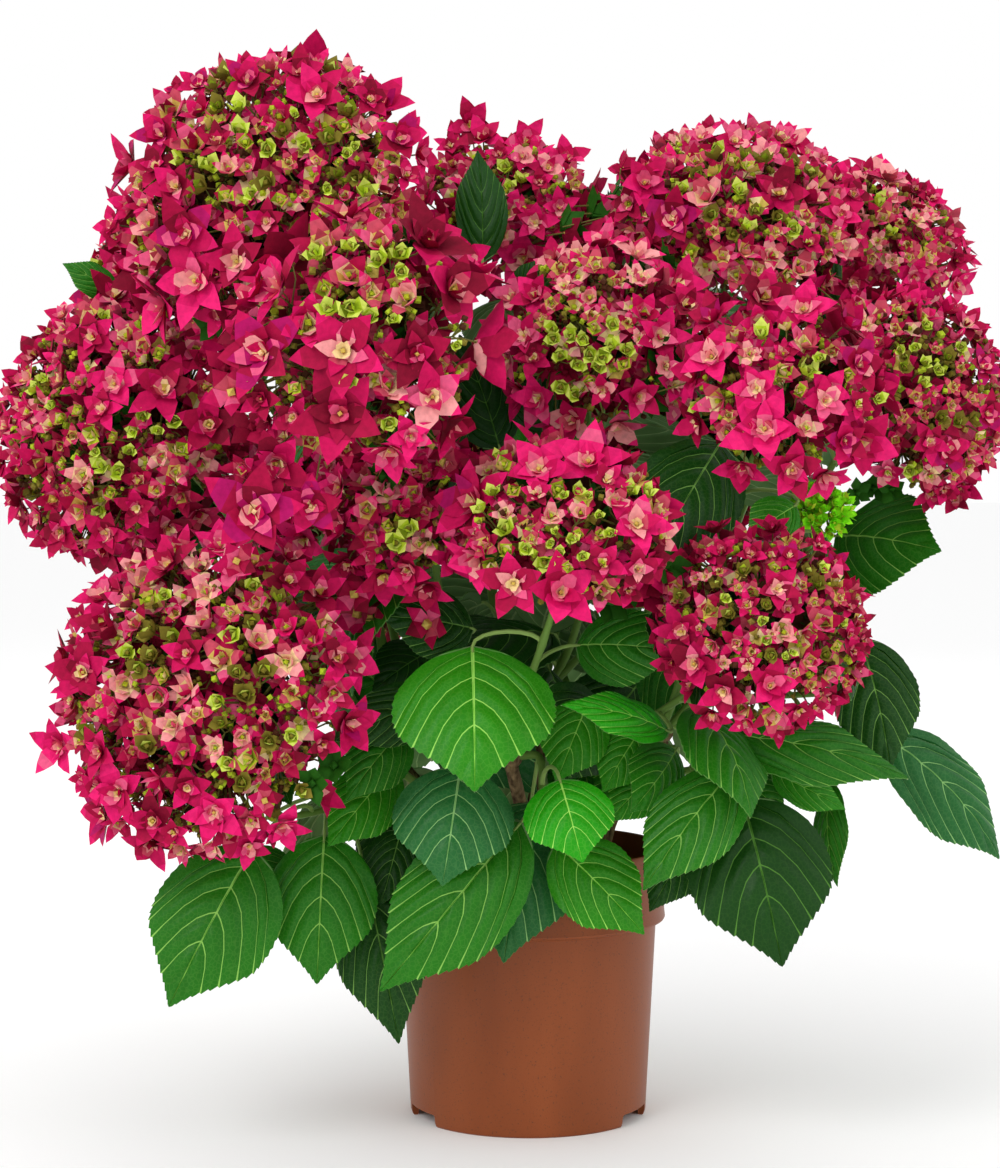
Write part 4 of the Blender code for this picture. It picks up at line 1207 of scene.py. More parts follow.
def model_spike(sides, stations):
    """A sepal before it is shaped: a slim spike of length 1, cut across at the stations, flat below."""
    deselect()
    bpy.ops.mesh.primitive_cone_add(vertices=sides, radius1=1, radius2=0, depth=1, location=(0, 0, 0.5))
    bpy.ops.object.transform_apply(location=True)
    made = bpy.context.object
    all_faces()
    for station in stations:
        bpy.ops.mesh.select_all(action="SELECT")
        bpy.ops.mesh.bisect(plane_co=(0, 0, station), plane_no=(0, 0, 1))
    back_to_object()
    zones = ZONES_CUT[len(stations)]
    for face in made.data.polygons:
        corners = [made.data.vertices[vertex].co for vertex in face.vertices]
        middle = sum(corners, Vector()) / len(corners)
        zone = zones[sum(middle.z > station for station in stations)]
        face.material_index = zone + (ZONES if middle.y < 0 or middle.z < 0.001 else 0)
    return shape_of(made)


SPIKES = {
    "broad": model_spike(4, (0.24, 0.48, 0.76)),
    "slim": model_spike(3, (0.42, 0.76)),
    "short": model_spike(3, (0.52,)),
}
CREASE = 0.26
SEPAL_LENGTHS = (0.82, 1.12)
SEPAL_WIDTHS = (0.90, 1.10)
LIFT_SPREAD = 16
CURL_SPREAD = 10
SIDE_SPREAD = 0.12
BEND_STEPS = 24


def sepal(whorl, turn, chance):
    """One sepal bent, cupped and tilted, standing on the floret's middle."""
    spike = SPIKES[whorl.spike]
    u = spike.points[:, 2]
    edge = np.sign(np.round(spike.points[:, 0], 4))
    face = np.sign(np.round(spike.points[:, 1], 4))
    length = whorl.length * chance.uniform(*SEPAL_LENGTHS)
    lift = math.radians(whorl.lift + chance.uniform(-LIFT_SPREAD, LIFT_SPREAD))
    curl = math.radians(whorl.curl + chance.uniform(-CURL_SPREAD, CURL_SPREAD))
    half = np.interp(u, *zip(*SEPAL_OUTLINE)) * whorl.width / 2 * chance.uniform(*SEPAL_WIDTHS)
    steps = np.linspace(0, 1, BEND_STEPS + 1)
    tilt = lift + curl * steps
    out = np.concatenate([[0], np.cumsum(np.cos(tilt[:-1]) / BEND_STEPS)]) * length + whorl.base
    rise = np.concatenate([[0], np.cumsum(np.sin(tilt[:-1]) / BEND_STEPS)]) * length
    angle = lift + curl * u
    thick = SEPAL_THICKNESS / 2 * (1.15 - u)
    if whorl.spike == "broad":
        height = np.where(edge == 0, face * thick, half * whorl.cup)
    else:
        height = np.where(edge == 0, whorl.keel * (half * CREASE + thick * 2), 0)
    x = np.interp(u, steps, out) - np.sin(angle) * height
    z = np.interp(u, steps, rise) + np.cos(angle) * height
    y = whorl.keel * edge * half + chance.uniform(-SIDE_SPREAD, SIDE_SPREAD) * length * u**2
    turn += chance.uniform(-SIDE_SPREAD, SIDE_SPREAD)
    ahead = x * math.cos(turn) - y * math.sin(turn)
    aside = x * math.sin(turn) + y * math.cos(turn)
    points = np.stack([ahead, aside, z], axis=1)
    front = spike.roles < ZONES if whorl.keel > 0 else spike.roles >= ZONES
    roles = np.where(front, spike.roles % ZONES + whorl.roles, whorl.back) + ROLES * chance.choice(SHIFTS)
    return Shape(points, spike.corners, spike.sizes, roles)


def model_bud(size, height, role):
    """The little closed bud in the floret's throat."""
    deselect()
    bpy.ops.mesh.primitive_uv_sphere_add(segments=4, ring_count=2, radius=size, location=(0, 0, height))
    bpy.ops.object.transform_apply(location=True)
    bud = shape_of(bpy.context.object)
    return Shape(bud.points, bud.corners, bud.sizes, np.full(len(bud.sizes), role))


def model_floret(whorls, bud, chance):
    """One floret: its whorls, each turned half a sepal from the last, and its bud."""
    shapes = []
    start = chance.uniform(0, math.pi)
    for number, whorl in enumerate(whorls):
        for i in range(whorl.count):
            turn = start + 2 * math.pi * (i + number * 0.5) / whorl.count
            shapes.append(sepal(whorl, turn, chance))
    shapes.append(model_bud(*bud, BUD_ROLE))
    return merged(shapes)


STAR_WHORLS = (
    Whorl(5, "broad", 1, 1.06, 0.66, 24, -8, 0.30, 0.05, OUTER_ROLES, OUTER_BACK),
    Whorl(4, "slim", -1, 0.70, 0.42, 42, 8, 0, 0.04, MIDDLE_ROLES, INNER_BACK),
    Whorl(3, "short", -1, 0.42, 0.30, 62, 10, 0, 0.02, INNER_ROLES, INNER_BACK),
)
GRAND_WHORLS = (
    Whorl(5, "broad", 1, 1.06, 0.68, 22, -6, 0.34, 0.05, OUTER_ROLES, OUTER_BACK),
    Whorl(4, "broad", 1, 0.70, 0.44, 42, 4, 0.36, 0.04, MIDDLE_ROLES, INNER_BACK),
    Whorl(4, "slim", -1, 0.44, 0.26, 58, 10, 0, 0.02, INNER_ROLES, INNER_BACK),
)
CUP_WHORLS = (
    Whorl(5, "slim", 1, 1.12, 0.64, 36, -10, 0, 0.06, OUTER_ROLES, OUTER_BACK),
    Whorl(4, "short", -1, 0.80, 0.50, 56, 8, 0, 0.05, MIDDLE_ROLES, INNER_BACK),
    Whorl(3, "short", -1, 0.52, 0.38, 70, 8, 0, 0.03, INNER_ROLES, INNER_BACK),
)
TULIP_WHORLS = (
    Whorl(5, "slim", -1, 1.20, 0.76, 56, -16, 0, 0.08, OUTER_ROLES, OUTER_BACK),
    Whorl(3, "short", -1, 0.86, 0.60, 66, 6, 0, 0.05, MIDDLE_ROLES, INNER_BACK),
)
ROSETTE_WHORLS = (
    Whorl(4, "short", -1, 1.20, 0.96, 40, 30, 0, 0.08, OUTER_ROLES, OUTER_BACK),
    Whorl(3, "short", -1, 0.80, 0.70, 60, 30, 0, 0.05, MIDDLE_ROLES, INNER_BACK),
)
UNDER_WHORLS = (
    Whorl(5, "short", 1, 1.10, 0.80, 34, -10, 0, 0.06, OUTER_ROLES, OUTER_BACK),
)
# Every kind of floret: its whorls, the size and height of its bud, and how many are modelled.
KINDS = {
    "star": (STAR_WHORLS, (0.075, 0.10), 6),
    "grand": (GRAND_WHORLS, (0.07, 0.12), 8),
    "cup": (CUP_WHORLS, (0.13, 0.18), 5),
    "tulip": (TULIP_WHORLS, (0.16, 0.30), 4),
    "rosette": (ROSETTE_WHORLS, (0.24, 0.28), 4),
    "under": (UNDER_WHORLS, (0.22, 0.20), 4),
}
BEAD_CLUSTERS = 4
BEADS_EACH = 4
BEAD_LEAN = 0.9
BEAD_STALKS = (0.7, 1.2)
BEAD_SIZES = (0.18, 0.28)
BEAD_STALK_RADII = (0.05, 0.04)
floret_chance = random.Random("florets")
florets_of = {}
for kind, (whorls, bud, count) in KINDS.items():
    florets_of[kind] = [model_floret(whorls, bud, floret_chance) for _ in range(count)]


def model_beads(chance):
    """A little cluster of fertile buds on threads of stalk, between the florets."""
    shapes = []
    for _ in range(BEADS_EACH):
        aside = [chance.uniform(-BEAD_LEAN, BEAD_LEAN) for _ in range(2)]
        lean = Vector((*aside, 1)).normalized() * chance.uniform(*BEAD_STALKS)
        bead = model_bud(chance.uniform(*BEAD_SIZES), 0, chance.choice((0, 0, 1)))
        shapes.append(Shape(bead.points + np.array(lean), bead.corners, bead.sizes, bead.roles))
        shapes.append(limb([Vector((0, 0, 0)), lean], BEAD_STALK_RADII, 3, 2))
    return merged(shapes)


florets_of["beads"] = [model_beads(floret_chance) for _ in range(BEAD_CLUSTERS)]

FINISHES = {
    "deep_crimson": (122, 10, 40),
    "crimson": (162, 12, 60),
    "magenta": (190, 14, 80),
    "bright_magenta": (212, 20, 98),
    "hot_pink": (226, 30, 108),
    "purple_magenta": (168, 14, 90),
    "pink": (220, 84, 126),
    "dusty_rose": (192, 72, 92),
    "pale_rose": (232, 150, 150),
    "cream": (236, 210, 154),
    "straw": (204, 180, 88),
    "lime": (176, 198, 46),
    "pale_lime": (204, 216, 96),
    "moss": (128, 146, 30),
    "spring_green": (146, 236, 34),
    "olive": (124, 112, 40),
    "leaf_green": (34, 84, 16),
    "brown": (74, 40, 24),
    "sap_stalk": (112, 118, 56),
}
finish_number = {name: number for number, name in enumerate(FINISHES)}
petal_paints = [
    green_material(f"petal_{name}", shade, 0.6, 0.25, fine=700, vary=0.32, gloss=0.08, patch=260)
    for name, shade in FINISHES.items()
]


# What a sepal that is a step deeper, or a step lighter, has in place of each finish.
DEEPER = {
    "crimson": "deep_crimson", "magenta": "crimson", "bright_magenta": "magenta",
    "hot_pink": "bright_magenta", "purple_magenta": "crimson", "pink": "magenta", "dusty_rose": "crimson",
    "pale_rose": "dusty_rose", "cream": "pale_rose", "lime": "moss", "spring_green": "lime",
}
LIGHTER = {
    "deep_crimson": "crimson", "crimson": "magenta", "magenta": "bright_magenta",
    "bright_magenta": "hot_pink", "hot_pink": "pink", "purple_magenta": "magenta", "dusty_rose": "pink",
    "pink": "pale_rose", "straw": "cream", "lime": "pale_lime", "olive": "moss",
}


def tone(*names):
    """A floret's finishes: four zones of each whorl from foot to tip, then bud, outer and inner back."""
    return list(names)


def finishes(names):
    """The finish numbers of a tone's roles, then those of its deeper and of its lighter sepals."""
    deeper = [DEEPER.get(name, name) for name in names]
    lighter = [LIGHTER.get(name, name) for name in names]
    return [finish_number[name] for name in names + deeper + lighter]


# Most stars' outer sepals run from a darker foot to a lighter tip: partly their own colour, partly painted
# shade at the foot where the sepals crowd together.
STAR_TONES = {
    "bright": tone("crimson", "magenta", "bright_magenta", "bright_magenta",
                   "pale_rose", "pink", "pink", "bright_magenta",
                   "cream", "pale_rose", "pink", "pink", "straw", "magenta", "pink"),
    "magenta": tone("deep_crimson", "crimson", "magenta", "magenta",
                    "pale_rose", "dusty_rose", "magenta", "magenta",
                    "cream", "cream", "pale_rose", "pink", "straw", "crimson", "magenta"),
    "crimson": tone("deep_crimson", "crimson", "crimson", "magenta",
                    "pale_rose", "dusty_rose", "crimson", "magenta",
                    "straw", "cream", "pale_rose", "dusty_rose", "straw", "deep_crimson", "crimson"),
    "purple": tone("deep_crimson", "crimson", "purple_magenta", "magenta",
                   "magenta", "purple_magenta", "pink", "purple_magenta",
                   "cream", "pink", "pink", "pink", "cream", "crimson", "pink"),
    "deep": tone("deep_crimson", "deep_crimson", "crimson", "crimson",
                 "crimson", "deep_crimson", "crimson", "crimson",
                 "dusty_rose", "dusty_rose", "crimson", "crimson", "straw", "deep_crimson", "deep_crimson"),
    "hot": tone("pink", "bright_magenta", "hot_pink", "bright_magenta",
                "pink", "pink", "hot_pink", "hot_pink",
                "cream", "pale_rose", "pink", "pink", "straw", "magenta", "pink"),
    "rosy": tone("dusty_rose", "pink", "pink", "bright_magenta",
                 "pale_rose", "pale_rose", "pink", "pink",
                 "cream", "cream", "pale_rose", "pink", "straw", "dusty_rose", "pale_rose"),
}
EYES = {
    "cream": tone("cream", "pale_rose", "pink", "pink", "cream", "cream", "cream", "pale_rose", "straw"),
    "lime": tone("straw", "dusty_rose", "pink", "magenta", "lime", "straw", "cream", "pale_rose", "lime"),
}
CUP_TONES = {
    # The deep, shade and leafy tones are dark fillers for the layers under the florets: painted shade inside
    # the heads.
    "deep": tone(*["deep_crimson"] * 3, "crimson", *["deep_crimson"] * 11),
    "shade": tone(*["brown"] * 3, "olive", *["brown"] * 11),
    "leafy": tone(*["leaf_green"] * 3, "olive", *["leaf_green"] * 11),
    "magenta": tone("dusty_rose", "magenta", "magenta", "bright_magenta",
                    "cream", "pale_rose", "pink", "bright_magenta",
                    "straw", "cream", "pale_rose", "pink", "lime", "crimson", "pink"),
    "rose": tone("straw", "dusty_rose", "magenta", "magenta",
                 "cream", "pale_rose", "dusty_rose", "magenta",
                 "lime", "straw", "cream", "pale_rose", "lime", "dusty_rose", "pale_rose"),
    "crimson": tone("dusty_rose", "crimson", "crimson", "crimson",
                    "straw", "dusty_rose", "crimson", "magenta",
                    "lime", "straw", "pale_rose", "dusty_rose", "straw", "deep_crimson", "dusty_rose"),
    "pale": tone("cream", "pale_rose", "pink", "magenta",
                 "cream", "cream", "pale_rose", "pink",
                 "lime", "straw", "cream", "cream", "lime", "dusty_rose", "pink"),
    "dusty": tone("straw", "dusty_rose", "dusty_rose", "crimson",
                  "straw", "straw", "crimson", "crimson",
                  "lime", "lime", "straw", "dusty_rose", "olive", "dusty_rose", "dusty_rose"),
}
ROSETTE_TONES = {
    "young": tone(*["spring_green"] * 7, *["lime"] * 6, "spring_green", "spring_green"),
    "lime": tone("lime", "lime", "pale_lime", "straw", "lime", "lime", "pale_lime", "pale_lime",
                 "lime", "lime", "lime", "lime", "olive", "lime", "lime"),
    "blush": tone("lime", "straw", "dusty_rose", "dusty_rose", "lime", "straw", "straw", "pale_rose",
                  "lime", "lime", "lime", "lime", "lime", "straw", "straw"),
    "olive": tone("olive", "lime", "olive", "dusty_rose", "olive", "lime", "lime", "olive",
                  "lime", "lime", "lime", "lime", "olive", "olive", "olive"),
}
BEAD_TONES = {
    "brown": tone("brown", "olive", "sap_stalk"),
    "olive": tone("olive", "lime", "sap_stalk"),
}


# The heads: each a dome of florets, hollow below, on rays that branch from the end of its shoot. The florets
# of one head are a piece, and so are its rays; every head has its own floret sizes and its own mix of ages.

GOLDEN_TURN = math.pi * (3 - math.sqrt(5))
RIM_TILT = math.radians(114)
SPOTS = 1500
AGE_PATCH = 0.45
AGE_PATCH_SCALE = 26
AGE_SPREAD = 0.10
# How much room each kind of floret keeps, and how its size spreads.
ROOMS = {"star": (0.70, 0.35), "cup": (0.56, 0.40), "rosette": (0.62, 0.45)}
ROSETTE_SHARE = 0.62
ROSETTE_MOST = 0.0098
OUTWARD_SHARE = 0.78
HEART_SHARE = 0.22
RAY_RADIUS = 0.0013
RAY_SHARE = 0.58
RAY_SPACING = 0.0075
RAY_FAN = 1.1
RAY_SINK = 0.12
RAY_STEPS = 5
RAY_SIDES = 5
RAY_TAPER = 0.6
PEDICEL_RADIUS = 0.00055
PEDICEL_FOOT = 1.2
PEDICEL_STEPS = 3
PEDICEL_SIDES = 4

TO_FRONT = Vector((0, -1, 0))
TO_FRONT_UP = Vector((0, -1, 0.15))
FARTHEST_ROUND = 0.3
VIEW_SHARE = 0.5
STRAY_VIEW_SHARE = 0.8
BLOOM_STEP = 0.000704
BLOOM_CORNER = Vector((-0.372, 0.0, 0.785))
GRAND_SIZE = 20
OWN_ROOM = 0.72
TULIP_SHARE = 0.4
FLORET_LEAN = 0.26
OWN_LEAN = 0.10
BRIM_LEAN = 0.55
YOUNG_SIZE = 0.0069
# The layers under the outer florets: how far out each lies, its spacing, its florets' size, kinds and tones.
UNDER_LAYERS = (
    (0.86, 0.0135, 0.85, ("beads", "beads", "under"), None),
    # The two deeper layers get darker tones, down to brown and dark leaf green in the deepest: painted shade
    # inside the head.
    (0.70, 0.0150, 0.85, ("beads", "under", "under"), ("deep", "crimson", "magenta")),
    (0.50, 0.0150, 1.35, ("under",), ("shade", "leafy")),
)
UNDER_RIM = math.radians(128)
UNDER_FILLING = 1.25
UNDER_CLEAR = 0.95
UNDER_STRAY = 0.06
SIZE_SPREAD = (0.8, 1.2)
UNEVEN = 0.006
UNEVEN_SCALE = 38
UNEVEN_STEPS = (-0.003, 0.002)
SUNK = {"grand": 0.30, "star": 0.34, "cup": 0.75, "tulip": 0.75, "rosette": 0.60, "beads": 0.9, "under": 0.7}
STRAY = 0.010
SEAM_MOST = 0.0115
SPRIGS = 8
SPRIG_SPREAD = 0.17
SPRIG_SIZE = 0.017
SPRIG_DEPTH = 0.014
# The sprigs' dark tones are painted shade deep in the seams between heads.
SPRIG_TONES = ("leafy", "deep", "crimson")

Look = namedtuple("Look", "star cup star_from lime_to stars cups rosettes")
Bloom = namedtuple("Bloom", "across down size kind tone")

# Mixes of tones, each dealt evenly.
BRIGHT = ("bright", "bright", "magenta", "purple", "crimson")
BRIGHT_HOT_ROSY = ("bright", "hot", "rosy")
HOT = ("bright", "hot", "bright", "magenta")
CROWNING = ("bright", "hot", "rosy", "magenta")
DEEP = ("magenta", "crimson", "crimson", "deep", "bright")
MIXED = ("bright", "magenta", "magenta", "crimson", "purple", "deep")
ROSY = ("magenta", "rose", "rose", "pale", "crimson")
FADED = ("rose", "pale", "pale", "dusty", "magenta", "rose")
WARM = ("magenta", "pale", "rose", "crimson", "rose")
PALE = ("pale", "rose", "pale")
PINKS = ("magenta", "rose")
SOFT = ("pale", "rose", "magenta")
RUSSET = ("crimson", "dusty", "dusty", "rose")
MANY = ("magenta", "rose", "crimson", "dusty", "pale")
LIMES = ("lime", "lime", "blush")
OLIVES = ("lime", "blush", "olive", "olive")

# Each head's look: the radius of its stars and cups, the ages where stars begin and rosettes end, its mixes.
# The inner_left, middle and crown heads are dealt lighter mixes: painted light against the shade that the
# heads round them cast.
LOOKS = {
    "top_left": Look(0.0290, 0.0172, 0.60, 0.26, MIXED, FADED, OLIVES),
    "shoulder_left": Look(0.0210, 0.0150, 0.52, 0.08, MIXED, WARM, OLIVES),
    "far_left": Look(0.0200, 0.0145, 0.74, 0.20, DEEP, ROSY, LIMES),
    "upper_left": Look(0.0290, 0.0175, 0.42, 0.12, MIXED, ROSY, LIMES),
    "inner_left": Look(0.0215, 0.0160, 0.06, -0.2, HOT, PINKS, OLIVES),
    "low_left": Look(0.0215, 0.0160, 0.66, 0.15, MIXED, MANY, OLIVES),
    "centre_left": Look(0.0200, 0.0140, 0.40, 0.06, MIXED, ROSY, LIMES),
    "centre": Look(0.0285, 0.0150, 0.55, 0.36, BRIGHT, ROSY, LIMES),
    "low_right": Look(0.0165, 0.0132, 0.70, 0.24, DEEP, RUSSET, OLIVES),
    "top_right": Look(0.0205, 0.0148, 0.70, 0.18, MIXED, FADED, OLIVES),
    "middle": Look(0.0210, 0.0165, 0.42, 0.12, BRIGHT_HOT_ROSY, PALE, LIMES),
    "middle_right": Look(0.0240, 0.0155, 0.52, 0.12, BRIGHT, WARM, LIMES),
    "far_right": Look(0.0180, 0.0138, 0.68, 0.18, DEEP, ROSY, OLIVES),
    "upper_right": Look(0.0180, 0.0140, 0.50, 0.14, BRIGHT_HOT_ROSY, PALE, LIMES),
    "crown": Look(0.0225, 0.0170, 0.36, 0.06, CROWNING, SOFT, LIMES),
}
BACK_LOOK = Look(0.0230, 0.0162, 0.62, 0.20, MIXED, ROSY, LIMES)
YOUNG_LOOK = Look(0.0060, 0.0100, 9.0, 9.0, BRIGHT, ROSY, ("young",))


